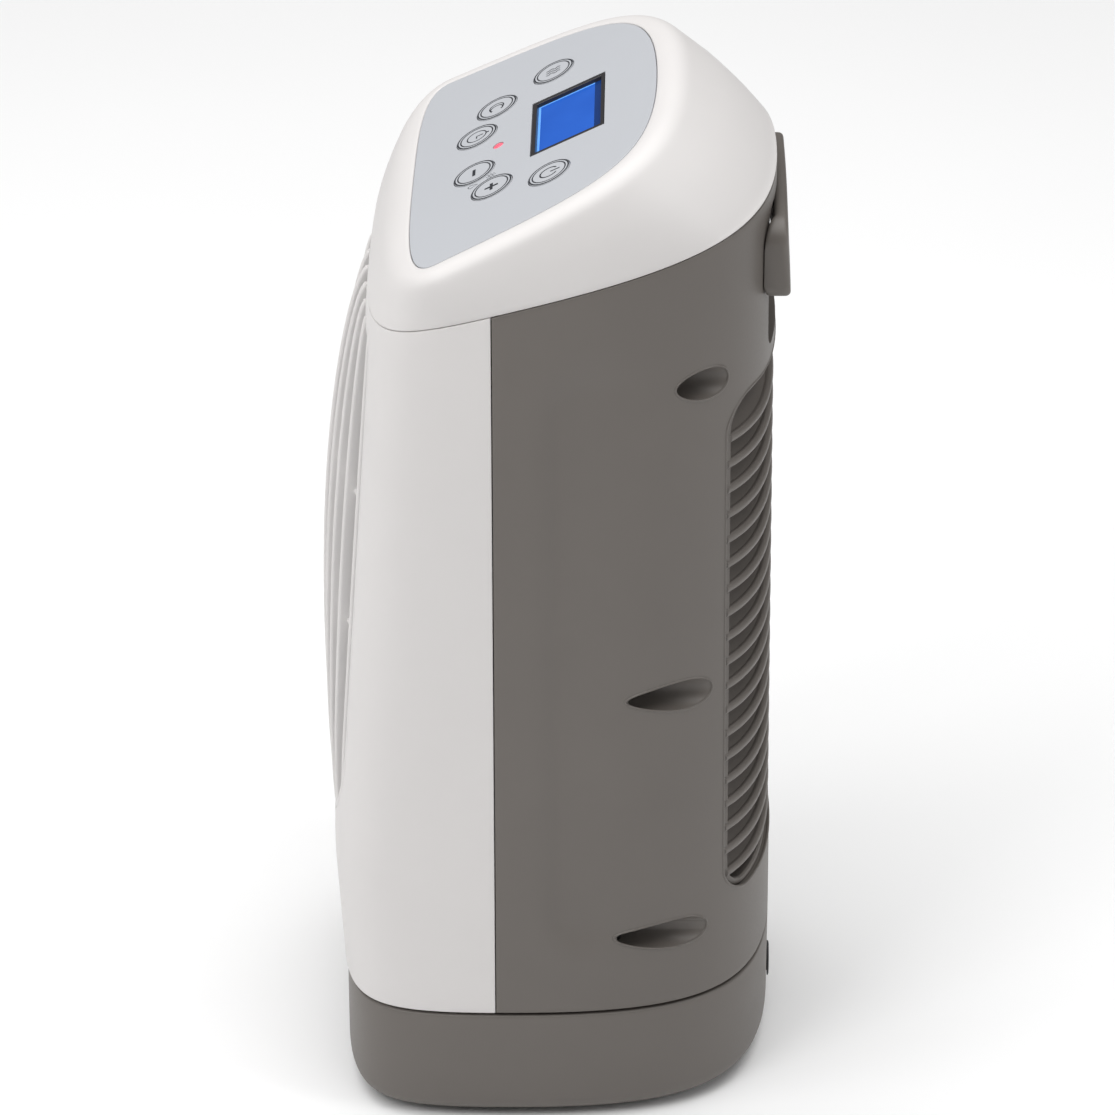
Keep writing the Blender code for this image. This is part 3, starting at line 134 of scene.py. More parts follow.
def turned(name, profile, steps=48, place=None, closed=False):
    """Turns (radius, height) points round Z. Ends on the axis close; closed joins the last to the first."""
    points, rows = [], []
    for r, z in profile:
        if r < 1e-7:
            rows.append([len(points)] * steps)
            points.append((0, 0, z))
        else:
            rows.append(list(range(len(points), len(points) + steps)))
            points += [(r * math.cos(2 * math.pi * i / steps), r * math.sin(2 * math.pi * i / steps), z)
                       for i in range(steps)]
    pairs = list(zip(rows, rows[1:])) + ([(rows[-1], rows[0])] if closed else [])
    faces = []
    for a, b in pairs:
        for i in range(steps):
            j = (i + 1) % steps
            face = [a[i], a[j], b[j], b[i]]
            face = [v for k, v in enumerate(face) if v not in face[:k]]
            if len(face) > 2:
                faces.append(tuple(face))
    made = from_faces(name, points, faces)
    if place is not None:
        made.data.transform(place)
    return made


def rounded_box(name, low, high, radius, segments=3, place=None):
    work = bmesh.new()
    bmesh.ops.create_cube(work, size=1)
    for vert in work.verts:
        for k in range(3):
            vert.co[k] = (low[k] + high[k]) / 2 + vert.co[k] * (high[k] - low[k])
    bmesh.ops.bevel(work, geom=list(work.edges), offset=radius, segments=segments, affect="EDGES",
                    profile=0.5)
    mesh = bpy.data.meshes.new(name)
    work.to_mesh(mesh)
    work.free()
    if place is not None:
        mesh.transform(place)
    return add(name, mesh)


def apply_changes(obj):
    """Makes the mesh what its modifiers give, and takes the modifiers off."""
    graph = bpy.context.evaluated_depsgraph_get()
    mesh = bpy.data.meshes.new_from_object(obj.evaluated_get(graph), depsgraph=graph)
    obj.modifiers.clear()
    obj.data = mesh
    return obj


def cut(target, *others):
    """Takes each of the others out of target, and uses them up."""
    for other in others:
        change = target.modifiers.new(other.name, "BOOLEAN")
        change.operation = "DIFFERENCE"
        change.object = other
        change.solver = "EXACT"
    apply_changes(target)
    for other in others:
        bpy.data.objects.remove(other)
    return target


def merged(name, pieces):
    """One object out of several meshes that may touch."""
    work = bmesh.new()
    for piece in pieces:
        work.from_mesh(piece.data)
        bpy.data.objects.remove(piece)
    mesh = bpy.data.meshes.new(name)
    work.to_mesh(mesh)
    work.free()
    return add(name, mesh)


# Plan curves ------------------------------

def bezier(points, t):
    t = np.asarray(t)[:, None]
    a, b, c, d = (np.array(p, float) for p in points)
    return a * (1 - t) ** 3 + b * 3 * (1 - t) ** 2 * t + c * 3 * (1 - t) * t ** 2 + d * t ** 3


def quarters(front, side, steps):
    """Right half of an outline from two cubic quarters, front centre to rear centre."""
    t = np.arange(steps) / steps
    return np.vstack([bezier(front, t), bezier(side, np.append(t, 1.0))])


def whole(half):
    left = half[1:-1][::-1] * (-1, 1)
    return np.vstack([half, left])


def body_half(width, front, rear, steps=40):
    front_bend = mix(WIDEST_Y, front, 0.92)
    rear_bend = mix(WIDEST_Y, rear, 0.77)
    return quarters(((0, front), (width * 0.92, front), (width, front_bend), (width, WIDEST_Y)),
                    ((width, WIDEST_Y), (width, rear_bend), (width * 0.77, rear), (0, rear)), steps)


def offset(path, distance, closed=True):
    """Moves an anticlockwise path inwards by a distance, one number or one for each point."""
    path = np.asarray(path, float)
    along = np.roll(path, -1, 0) - np.roll(path, 1, 0)
    if not closed:
        along[0] = path[1] - path[0]
        along[-1] = path[-1] - path[-2]
    along /= np.linalg.norm(along, axis=1)[:, None]
    inward = np.stack([-along[:, 1], along[:, 0]], 1)
    return path + inward * (distance[:, None] if np.ndim(distance) else distance)


def front_line(z):
    if z < CREST_Z:
        return mix(-77, -79.9, (z - TOWER_BOTTOM) / (CREST_Z - TOWER_BOTTOM)) * MM
    return mix(-79.9 * MM, FRONT_HIGH, (z - CREST_Z) / (FRONT_TOP_Z - CREST_Z))


def tower_half(z, steps=40):
    rise = (z - TOWER_BOTTOM) / (SEAM_Z - TOWER_BOTTOM)
    ease = max(0.0, 1 - abs(z - CREST_Z) / CREST_EASE)
    front = front_line(z) + 0.45 * MM * ease ** 2
    return body_half(mix(81.5, 80.8, rise) * MM, front, mix(77.2, 74.5, rise) * MM, steps)


def seam_z(y):
    return SEAM_Z + SEAM_SLOPE * y


def at_z(outline, z):
    return [(x, y, z) for x, y in outline]


def surface_y(x, z, rear):
    half = tower_half(z, 60)
    part = half[60:][::-1] if rear else half[:61]
    return float(np.interp(abs(x), part[:, 0], part[:, 1]))


def even(path, count):
    """The same path with count points, spaced evenly along it."""
    path = np.asarray(path)
    run = np.append(0, np.cumsum(np.linalg.norm(np.diff(path, axis=0), axis=1)))
    at = np.linspace(0, run[-1], count)
    return np.stack([np.interp(at, run, path[:, k]) for k in (0, 1)], 1)


# Materials ------------------------------

def material(name, colour, roughness, metallic=0.0, coat=0.0, specular=0.5):
    made = bpy.data.materials.new(name)
    made.use_nodes = True
    shader = made.node_tree.nodes["Principled BSDF"]
    shader.inputs["Base Color"].default_value = (*colour, 1)
    shader.inputs["Roughness"].default_value = roughness
    shader.inputs["Metallic"].default_value = metallic
    shader.inputs["Coat Weight"].default_value = coat
    shader.inputs["Specular IOR Level"].default_value = specular
    made.diffuse_color = (*colour, 1)
    return made


def node(mat, kind, **values):
    made = mat.node_tree.nodes.new(kind)
    for key, value in values.items():
        if key in made.inputs:
            made.inputs[key].default_value = value
        else:
            setattr(made, key.lower().replace(" ", "_"), value)
    return made


def link(mat, a, out, b, into):
    mat.node_tree.links.new(a.outputs[out], b.inputs[into])


def clouds(mat, scale, dark, light, ends=(0.0, 1.0), **noise):
    """A tone that drifts between two colours over the object."""
    place = node(mat, "ShaderNodeTexCoord")
    cloud = node(mat, "ShaderNodeTexNoise", Scale=scale, **noise)
    link(mat, place, "Object", cloud, "Vector")
    tone = node(mat, "ShaderNodeValToRGB")
    for element, position, colour in zip(tone.color_ramp.elements, ends, (dark, light)):
        element.position = position
        element.color = (*colour, 1)
    link(mat, cloud, "Fac", tone, "Fac")
    return tone


def moulded(name, colour, roughness, grain=0.25, grain_size=0.45 * MM, variation=0.03, edge=0.35 * MM,
            metallic=0.0):
    """Moulded plastic: fine spark-eroded grain, faint flow marks in tone and gloss, softened edges."""
    mat = material(name, colour, roughness, metallic)
    shader = mat.node_tree.nodes["Principled BSDF"]
    dark = [c * (1 - variation) for c in colour]
    light = [min(1.0, c * (1 + variation)) for c in colour]
    tone = clouds(mat, 18.0, dark, light, (0.3, 0.7), Detail=3.0, Roughness=0.55)
    link(mat, tone, "Color", shader, "Base Color")
    place = node(mat, "ShaderNodeTexCoord")
    speck = node(mat, "ShaderNodeTexNoise", Scale=1 / grain_size / 2, Detail=2.0, Roughness=0.6)
    link(mat, place, "Object", speck, "Vector")
    gloss = node(mat, "ShaderNodeMapRange")
    gloss.inputs["To Min"].default_value = roughness - 0.05
    gloss.inputs["To Max"].default_value = roughness + 0.05
    link(mat, speck, "Fac", gloss, "Value")
    link(mat, gloss, "Result", shader, "Roughness")
    rough = node(mat, "ShaderNodeBump", Strength=grain, Distance=0.03 * MM)
    link(mat, speck, "Fac", rough, "Height")
    if edge:
        soft = node(mat, "ShaderNodeBevel", samples=4)
        soft.inputs["Radius"].default_value = edge
        link(mat, soft, "Normal", rough, "Normal")
    link(mat, rough, "Normal", shader, "Normal")
    return mat


WHITE = moulded("white_plastic", (0.66, 0.64, 0.631), 0.5, variation=0.012)
TAUPE = moulded("taupe_plastic", (0.130, 0.116, 0.104), 0.46, grain=0.4, variation=0.03)
BLACK = moulded("black_plastic", (0.022, 0.022, 0.024), 0.45, variation=0.1)
NATURAL = moulded("natural_plastic", (0.68, 0.66, 0.60), 0.45, variation=0.03)
RUBBER = moulded("rubber", (0.02, 0.02, 0.021), 0.8, grain=0.6, variation=0.15)
BOARD = moulded("circuit_board", (0.02, 0.14, 0.05), 0.35, variation=0.12, edge=0)
CERAMIC = moulded("ceramic", (0.46, 0.44, 0.40), 0.75, grain=0.8, variation=0.08, edge=0)


def metal(name, colour, roughness, stretch):
    """Drawn or rolled metal: grain lines along one axis."""
    mat = material(name, colour, roughness, 1.0)
    shader = mat.node_tree.nodes["Principled BSDF"]
    place = node(mat, "ShaderNodeTexCoord")
    scale = node(mat, "ShaderNodeMapping")
    scale.inputs["Scale"].default_value = stretch
    grain = node(mat, "ShaderNodeTexNoise", Scale=900.0, Detail=3.0)
    link(mat, place, "Object", scale, "Vector")
    link(mat, scale, "Vector", grain, "Vector")
    gloss = node(mat, "ShaderNodeMapRange")
    gloss.inputs["To Min"].default_value = roughness - 0.1
    gloss.inputs["To Max"].default_value = roughness + 0.12
    link(mat, grain, "Fac", gloss, "Value")
    link(mat, gloss, "Result", shader, "Roughness")
    bump = node(mat, "ShaderNodeBump", Strength=0.25, Distance=0.02 * MM)
    link(mat, grain, "Fac", bump, "Height")
    link(mat, bump, "Normal", shader, "Normal")
    return mat


STEEL = metal("steel", (0.56, 0.55, 0.54), 0.34, (1, 1, 0.08))
BLACKENED = metal("blackened_steel", (0.05, 0.048, 0.047), 0.42, (1, 1, 0.08))
ALUMINIUM = metal("aluminium", (0.78, 0.78, 0.79), 0.36, (0.1, 1, 1))
INK = moulded("black_ink", (0.03, 0.032, 0.038), 0.4, grain=0.1, variation=0.1, edge=0)
SILVER = moulded("silver_overlay", (0.47, 0.483, 0.51), 0.5, grain=0.18, grain_size=0.25 * MM,
                 variation=0.01, edge=0.2 * MM, metallic=0.08)
BEZEL = moulded("display_bezel", (0.03, 0.028, 0.03), 0.3, grain=0.1, variation=0.1, edge=0.15 * MM)


def lit(name, dim, bright, roughness, strength, cloud_scale):
    """Plastic with a lamp behind it: its own light, a little uneven over its face."""
    mat = material(name, bright, roughness, coat=0.15, specular=0.3)
    shader = mat.node_tree.nodes["Principled BSDF"]
    tone = clouds(mat, cloud_scale, dim, bright, Detail=1.0)
    link(mat, tone, "Color", shader, "Base Color")
    link(mat, tone, "Color", shader, "Emission Color")
    shader.inputs["Emission Strength"].default_value = strength
    return mat


SCREEN = lit("display_blue", (0.010, 0.07, 0.36), (0.018, 0.10, 0.46), 0.22, 0.3, 60.0)
SCREEN_EDGE = lit("display_edge_light", (0.07, 0.24, 0.62), (0.14, 0.36, 0.80), 0.3, 0.5, 90.0)
# Painted shadow: a dark blue sheet that stands for the bezel's shadow on the top of the sunk screen.
SCREEN_PAINTED_SHADOW = moulded("display_painted_shadow", (0.006, 0.035, 0.16), 0.2, grain=0.05, variation=0.2, edge=0)
LED = lit("led_red", (0.70, 0.06, 0.10), (1.0, 0.16, 0.22), 0.25, 0.5, 900.0)

SLOT_OF = {s["node"]: s["material_slot"] for s in frame["record"]["subparts"]}
MATERIAL_OF_SLOT = {
    "white_plastic": WHITE, "taupe_plastic": TAUPE, "silver_overlay": SILVER, "key_face": SILVER,
    "lcd_blue": SCREEN, "led_red": LED, "rubber": RUBBER, "steel": STEEL, "aluminium": ALUMINIUM,
    "ceramic": CERAMIC, "circuit_board": BOARD, "black_plastic": BLACK, "natural_plastic": NATURAL}
BODY_OF = {n: body for body, nodes in frame["record"]["behaviour"]["bodies"].items() for n in nodes}
for name, cad in frame["nodes"].items():
    cad.data.materials.clear()
    cad.data.materials.append(MATERIAL_OF_SLOT[SLOT_OF[name]])


def place_piece(obj, mat, node_name=None, body=None, sharp=32):
    """Gives a piece its material and body, and hides the CAD node it stands for."""
    obj.data.materials.clear()
    obj.data.materials.append(mat)
    shade(obj, sharp)
    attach(obj, body or BODY_OF[node_name])
    if node_name:
        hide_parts(node_name)
    return obj


# Base ------------------------------

BASE = whole(body_half(81.5 * MM, -76 * MM, 77.2 * MM))
BASE_FILLET = 7 * MM
BASE_LIP = 1.1 * MM
PLATE_BOTTOM = 2.6 * MM
VENT_PITCH = 5.5 * MM
VENT_HALF_WIDTH = 1.2 * MM
CORD_Z = 17 * MM
BASE_SCREWS = [(sx * 60 * MM, sy * 22 * MM) for sx in (-1, 1) for sy in (-1, 1)]
FEET = [(sx * 52 * MM, sy * 47 * MM) for sy in (-1, 1) for sx in (-1, 1)]
FOOT_PROFILE = mm((0, 2.3), (8, 2.3), (8, 0.9), (7.8, 0.4), (7.3, 0.1), (6.8, 0), (5.6, 0), (5.3, 0.35),
                  (4.7, 0.35), (4.4, 0), (3, 0), (2.7, 0.35), (0, 0.35))
BUSH_PROFILE = mm((3, 0.5), (3.4, 0.9), (5.8, 0.9), (6.3, 0.7), (6.5, 0.3), (4.7, 0.3), (4.7, -6), (3, -6))
SCREW_BORE = mm((0, -1), (3.5, -1), (3.5, 1.7), (1.8, 1.7), (1.8, 9), (0, 9))
SCREW_SEAT = 1.6 * MM
SCREW_RADIUS = 1.45 * MM
SCREW_ROOT = 1.15 * MM
SCREW_PITCH = 1.2 * MM
SCREW_HEAD_RADIUS = 3.2 * MM
SCREW_HEAD_HEIGHT = 1.4 * MM
TO_REAR = Matrix.Rotation(math.radians(-90), 4, "X")  # turns +Z to +Y


def disc_ring(radius, outline, z):
    away = outline / np.linalg.norm(outline, axis=1)[:, None]
    return [(x * radius, y * radius, z) for x, y in away]


def make_base():
    rings = []
    for i in range(9):
        turn = math.radians(90 * i / 8)
        inward, rise = BASE_FILLET * (1 - math.sin(turn)), BASE_FILLET * (1 - math.cos(turn))
        rings.append(at_z(offset(BASE, inward), PLATE_BOTTOM + rise))
    rings += [at_z(BASE, z * MM) for z in (20, 32)]
    for i in range(5):
        turn = math.radians(90 * i / 4)
        inward = BASE_LIP * (1 - math.cos(turn))
        rings.append(at_z(offset(BASE, inward), BASE_TOP - BASE_LIP + BASE_LIP * math.sin(turn)))
    rings.append(at_z(offset(BASE, 3 * MM), BASE_TOP))
    rings += [disc_ring(radius * MM, BASE, BASE_TOP) for radius in (56, 30, 14.3)]
    base = loft("base_housing", rings, capped=False)
    wall = base.modifiers.new("wall", "SOLIDIFY")
    wall.thickness = WALL
    wall.offset = -1
    apply_changes(base)
    cut(base, turned("cord_hole", mm((0, 60), (5, 60), (5, 90), (0, 90)), 40,
                     Matrix.Translation((0, 0, CORD_Z)) @ TO_REAR))
    place_piece(base, TAUPE, "base_shell")

    inset = BASE_FILLET + WALL / 2 + GAP
    bottom = loft("base_plate", [at_z(offset(BASE, inset + inward), PLATE_BOTTOM + rise)
                                 for inward, rise in mm((0.5, 0), (0, 0.5), (0, 3))])
    cutters = [turned(f"bore_{i}", SCREW_BORE, 32, Matrix.Translation((x, y, PLATE_BOTTOM)))
               for i, (x, y) in enumerate(BASE_SCREWS)]
    # Vent slots under the swing motor.
    for i in range(-4, 5):
        x = i * VENT_PITCH
        cutters.append(rounded_box(f"vent_{i}", (x - VENT_HALF_WIDTH, 22 * MM, 0),
                                   (x + VENT_HALF_WIDTH, 52 * MM, 9 * MM), 1.1 * MM))
    cut(bottom, *cutters)
    place_piece(bottom, TAUPE, "base_bottom_plate")


def make_screw(node_name, location, along, length, finish):
    """A pan-head screw with a cross recess and a threaded look on its shank."""
    profile = [(0, length), (0.5 * MM, length - 0.2 * MM)]
    turns = int(length / SCREW_PITCH)
    for i in range(turns, 0, -1):
        z = length * i / (turns + 1)
        profile += [(SCREW_RADIUS, z), (SCREW_ROOT, z - 0.35 * MM)]
    profile += [(1.5 * MM, 0), (SCREW_HEAD_RADIUS, 0)]
    for i in range(6):
        turn = math.radians(90 * i / 5)
        radius = SCREW_HEAD_RADIUS * math.cos(turn) ** 0.6 if i < 5 else 0
        profile.append((radius, -SCREW_HEAD_HEIGHT * math.sin(turn)))
    facing = Vector((0, 0, 1)).rotation_difference(Vector(along)).to_matrix().to_4x4()
    screw = turned(node_name + "_look", profile, 32)
    bars = []
    for turn in (0, 90):
        bar = rounded_box("cross", *mm((-1.9, -0.35, -2), (1.9, 0.35, -0.5)), 0.1 * MM, 1)
        bar.data.transform(Matrix.Rotation(math.radians(turn + 20), 4, "Z"))
        bars.append(bar)
    cut(screw, *bars)
    screw.data.transform(Matrix.Translation(location) @ facing)
    return place_piece(screw, finish, node_name)


def make_base_details():
    for i, (x, y) in enumerate(BASE_SCREWS, 1):
        make_screw(f"base_screw_{i}", (x, y, PLATE_BOTTOM + SCREW_SEAT), (0, 0, 1), 14 * MM, STEEL)
    for i, (x, y) in enumerate(FEET, 1):
        foot = turned(f"foot_look_{i}", FOOT_PROFILE, 48, Matrix.Translation((x, y, 0)))
        place_piece(foot, RUBBER, f"rubber_foot_{i}")
    rear = float(BASE[:, 1].max())
    bush = turned("cord_bush_look", BUSH_PROFILE, 48, Matrix.Translation((0, rear, CORD_Z)) @ TO_REAR,
                  closed=True)
    place_piece(bush, BLACK, "cord_inlet_bush")


# Tower shells ------------------------------

POCKETS = [(sx * x * MM, z * MM) for x, z in ((71.9, 75), (70.8, 171.5), (66.4, 289)) for sx in (-1, 1)]
POCKET_RIM_RADIUS = 5.9 * MM
RECESS_DEPTH = 2.1 * MM
RECESS_FRONT_Y = 1.2 * MM
RECESS_CORNER = 9 * MM
RECESS_TOP = 292 * MM
RECESS_BOTTOM = 78 * MM
RECESS_SLOPE = 9 * MM
RECESS_FOOT_SLOPE = 13 * MM
RECESS_UPPER_EDGE = 307 * MM
FRONT_EDGE_ROUND = 0.3 * MM
REAR_EDGE_ROUND = 0.5 * MM
REAR_TOP_Y = 74.5 * MM
OUTLINES_TOP_Y = 80 * MM
CAVITY_PAST_END = 6 * MM
CAVITY_PAST_SEAM = 3 * MM


def side_recess(y, z):
    """Depth of the shallow panel pressed into each side of the rear shell."""
    right = (RECESS_FRONT_Y + RECESS_CORNER) - y
    top = z - (RECESS_TOP - RECESS_CORNER)
    bottom = (RECESS_BOTTOM + RECESS_CORNER) - z
    rise = max(top, bottom)
    # The upper slope's outer edge runs parallel to the cap's seam.
    upper = max(RECESS_SLOPE, RECESS_UPPER_EDGE + 0.27 * y - RECESS_TOP)
    reach_z = upper if top > bottom else RECESS_FOOT_SLOPE
    if right > 0 and rise > 0:
        away = math.hypot(right, rise) - RECESS_CORNER
        width = mix(RECESS_SLOPE, reach_z, rise / (right + rise))
    else:
        away = max(right, rise) - RECESS_CORNER
        width = reach_z if rise > right else RECESS_SLOPE
    steepness = (1 - min(1.0, max(0.0, away / width))) ** 2
    return RECESS_DEPTH * steepness * (1 - smooth((y - 2 * MM) / (40 * MM)))


def shell_path(z, rear, count, seam_y):
    """Half of the tower's outline from seam to seam, anticlockwise, its ends at the seam."""
    half = tower_half(z)
    if rear:
        right = half[half[:, 1] > WIDEST_Y - 1e-6]
        right = right[np.argmax(right[:, 0]):]
        path = np.vstack([right, right[:-1][::-1] * (-1, 1)])
    else:
        right = half[:41]
        path = np.vstack([right[1:][::-1] * (-1, 1), right])
    path = even(path, count)
    path[0, 1] = path[-1, 1] = seam_y
    return path


def shell_rows(levels, round_off, solid):
    """Rows of a shell from foot to top: (kind, share or height from the end, how far it is pulled in)."""
    rows = [("share", t, 0.0) for t in np.linspace(0, 1, levels)]
    if not solid:
        return rows
    turns = [math.radians(a) for a in (0, 30, 60, 90)]
    ends = [(round_off * (1 - math.cos(a)), round_off * (1 - math.sin(a))) for a in turns]
    return [("low", *end) for end in ends] + rows[1:-1] + [("high", *end) for end in ends[::-1]]


def shell_solid(name, rear, count, levels, distance=0.0, recess=False):
    """Half of the tower as a solid between the base and the cap's slanted seam.

    With a distance it is the cavity inside, that far in from the surface and past both ends.
    """
    side = 1 if rear else -1
    seam_y = WIDEST_Y + side * (-CAVITY_PAST_SEAM if distance else GAP / 2)
    span_low = TOWER_BOTTOM - (CAVITY_PAST_END if distance else 0)
    past_top = CAVITY_PAST_END if distance else -GAP / 2
    round_off = REAR_EDGE_ROUND if rear else FRONT_EDGE_ROUND
    nominal_top = SEAM_Z + SEAM_SLOPE * (REAR_TOP_Y if rear else FRONT_HIGH)
    outlines, top = shell_outlines(rear, count, seam_y)
    columns = np.arange(count)
    rings = []
    for kind, value, inward in shell_rows(levels, round_off, not distance):

        def height(y):
            high = seam_z(y) + past_top
            if kind == "low":
                return span_low + value
            return high - value if kind == "high" else mix(span_low, high, value)

        share = {"low": 0.0, "high": 1.0}.get(kind, value)
        path = shell_path(mix(TOWER_BOTTOM, nominal_top, share), rear, count, seam_y)
        ring_z = np.array([height(y) for x, y in path])
        # Each point moves to the outline of its own height. That shifts the height, so it is done twice.
        for _ in range(2):
            share = np.clip((ring_z - TOWER_BOTTOM) / (top - TOWER_BOTTOM), 0, 1) * (len(outlines) - 1)
            below = np.clip(share.astype(int), 0, len(outlines) - 2)
            part = (share - below)[:, None]
            path = outlines[below, columns] * (1 - part) + outlines[below + 1, columns] * part
            ring_z = np.array([height(y) for x, y in path])
        inwards = np.full(count, distance + inward)
        if recess:
            inwards += np.array([side_recess(y, z) for (x, y), z in zip(path, ring_z)])
        moved = offset(path, inwards, closed=False)
        moved[0, 1] = moved[-1, 1] = seam_y
        if not distance:
            # Rounded vertical edges at the seam.
            ends = []
            for x in (moved[0, 0], moved[-1, 0]):
                inner = -math.copysign(round_off, x)
                ends.append([(x + inner * (1 - math.cos(a)), seam_y + side * round_off * (1 - math.sin(a)))
                             for a in (math.radians(30), math.radians(60), math.radians(90))])
            moved[0, 1] = moved[-1, 1] = seam_y + side * round_off
            moved = np.vstack([ends[0][::-1], moved, ends[1]])
            ring_z = np.concatenate([[ring_z[0]] * 3, ring_z, [ring_z[-1]] * 3])
        rings.append([(x, y, z) for (x, y), z in zip(moved, ring_z)])
    return loft(name, rings)


def shell_outlines(rear, count, seam_y):
    """Outlines at 60 even heights for placing points at any height, and the greatest of those heights."""
    top = SEAM_Z + SEAM_SLOPE * OUTLINES_TOP_Y
    return np.array([shell_path(z, rear, count, seam_y) for z in np.linspace(TOWER_BOTTOM, top, 60)]), top


OUTLET_LOW = 98 * MM
OUTLET_HIGH = 300 * MM
OUTLET_HALF = 58.5 * MM
OUTLET_FOOT = 42 * MM
OUTLET_CORNER = 8 * MM
INLET_HALF = 61 * MM
INLET_LOW = 81.5 * MM
INLET_HIGH = 279.5 * MM
INLET_CORNER = 13 * MM


def outlet_half_width(z):
    below = max(0.0, OUTLET_LOW + OUTLET_FOOT - z)
    return OUTLET_HALF - OUTLET_FOOT + math.sqrt(max(0.0, OUTLET_FOOT ** 2 - below ** 2))


def outlet_edge_z(x):
    """The height of the outlet's lower edge at a place across the width."""
    past = max(0.0, abs(x) - (OUTLET_HALF - OUTLET_FOOT))
    return OUTLET_LOW + OUTLET_FOOT - math.sqrt(OUTLET_FOOT ** 2 - past ** 2)


def outlet(distance):
    """The outlet's outline seen from the front, as (x, z), anticlockwise from the middle of its foot."""
    flat = OUTLET_HALF - OUTLET_FOOT
    right = [(flat * k / 3, OUTLET_LOW) for k in range(3)]
    for i in range(19):
        turn = math.radians(5 * i)
        across, up = OUTLET_FOOT * (1 - math.sin(turn)), OUTLET_FOOT * (1 - math.cos(turn))
        right.append((OUTLET_HALF - across, OUTLET_LOW + up))
    straight = OUTLET_HIGH - OUTLET_CORNER - OUTLET_LOW - OUTLET_FOOT
    right += [(OUTLET_HALF, OUTLET_LOW + OUTLET_FOOT + straight * k / 12) for k in range(1, 12)]
    for i in range(9):
        turn = math.radians(90 * i / 8)
        across, down = OUTLET_CORNER * (1 - math.cos(turn)), OUTLET_CORNER * (1 - math.sin(turn))
        right.append((OUTLET_HALF - across, OUTLET_HIGH - down))
    right += [((OUTLET_HALF - OUTLET_CORNER) * k / 10, OUTLET_HIGH) for k in range(9, -1, -1)]
    return offset(right + [(-x, z) for x, z in reversed(right[1:-1])], distance)


def inlet(distance, steps=8):
    """The inlet's outline seen from the front, as (x, z), anticlockwise."""
    across, low, high = INLET_HALF - INLET_CORNER, INLET_LOW + INLET_CORNER, INLET_HIGH - INLET_CORNER
    points = []
    for sx, sz, start in ((1, 1, 0), (-1, 1, 90), (-1, -1, 180), (1, -1, 270)):
        cx, cz = sx * across, high if sz > 0 else low
        turns = [math.radians(start + 90 * i / steps) for i in range(steps + 1)]
        points += [(cx + INLET_CORNER * math.cos(a), cz + INLET_CORNER * math.sin(a)) for a in turns]
        if start in (0, 180):
            points += [(cx * k / 10, cz + sz * INLET_CORNER) for k in range(9, -10, -1)]
        else:
            begin, end = (high, low) if sx < 0 else (low, high)
            points += [(sx * INLET_HALF, mix(begin, end, k / 10)) for k in range(1, 10)]
    return offset(points, distance)


def make_front_shell():
    shell = shell_solid("front_shell_look", False, 121, 60)
    cavity = shell_solid("front_cavity", False, 49, 14, WALL)
    cut(shell, cavity, prism_y("outlet", outlet(0.0), -95 * MM, -40 * MM))
    place_piece(merged("front_shell_piece", [shell]), WHITE, "front_shell")


def rim(name, shell_tree, outline, radius):
    """A thin rounded lip that follows an opening's edge over the rear surface."""
    path = []
    for x, z in outline:
        spot = shell_tree.ray_cast(Vector((x, 0.2, z)), Vector((0, -1, 0)))[0]
        path.append(spot - Vector((0, radius * 0.45, 0)))
    rings = []
    for i, spot in enumerate(path):
        along = (path[(i + 1) % len(path)] - path[i - 1]).normalized()
        side = along.cross(Vector((0, 1, 0))).normalized()
        up = side.cross(along)
        turns = [math.radians(45 * k) for k in range(8)]
        rings.append([spot + side * radius * math.cos(a) + up * radius * math.sin(a) for a in turns])
    return loft(name, rings, looped=True)


def make_rear_shell():
    shell = shell_solid("rear_shell_look", True, 181, 110, recess=True)
    work = bmesh.new()
    work.from_mesh(shell.data)
    tree = BVHTree.FromBMesh(work)
    rims = [rim(f"pocket_rim_{i}", tree, circle(POCKET_RIM_RADIUS, pocket, steps=72), 0.4 * MM)
            for i, pocket in enumerate(POCKETS)]
    rims.append(rim("inlet_rim", tree, inlet(-0.1 * MM, steps=12), 0.5 * MM))
    work.free()
    cavity = shell_solid("rear_cavity", True, 49, 14, WALL + 0.3 * MM)
    bosses = [turned(f"boss_{i}", mm((0, -19), (7.6, -19), (7.6, 75), (0, 75)), 32,
                     Matrix.Translation((x, 0, z)) @ TO_REAR) for i, (x, z) in enumerate(POCKETS)]
    grip = rounded_box("grip_wall", *mm((-35.4, 45.6, 282.6), (35.4, 95, 339.4)), 1 * MM)
    cut(cavity, *bosses, grip)
    holes = [cavity, prism_y("inlet_hole", inlet(0.0), 30 * MM, 95 * MM)]
    holes += [turned(f"pocket_{i}", mm((0, 22), (5.8, 22), (5.8, 90), (0, 90)), 56,
                     Matrix.Translation((x, 0, z)) @ TO_REAR) for i, (x, z) in enumerate(POCKETS)]
    holes.append(rounded_box("hand_recess", *mm((-33, 48, 285), (33, 98, 337)), 6 * MM, 6))
    cut(shell, *holes)
    place_piece(merged("rear_shell_piece", [shell, *rims]), TAUPE, "rear_shell", sharp=38)


def make_shell_screws():
    levels = ("low", "low", "middle", "middle", "high", "high")
    for (x, z), level in zip(POCKETS, levels):
        side = "left" if x < 0 else "right"
        make_screw(f"shell_screw_{side}_{level}", (x, 22.3 * MM, z), (0, -1, 0), 46 * MM, BLACKENED)


# Grilles ------------------------------

SWELL = 10.6 * MM
SWELL_SKEW = 1.36
SWELL_POWER = 1.3
SWELL_MARGIN = 4 * MM
SLAT_PITCH = 13 * MM
SLAT_HALF = 1.3 * MM
CROSSBARS_Z = (182 * MM, 233 * MM)
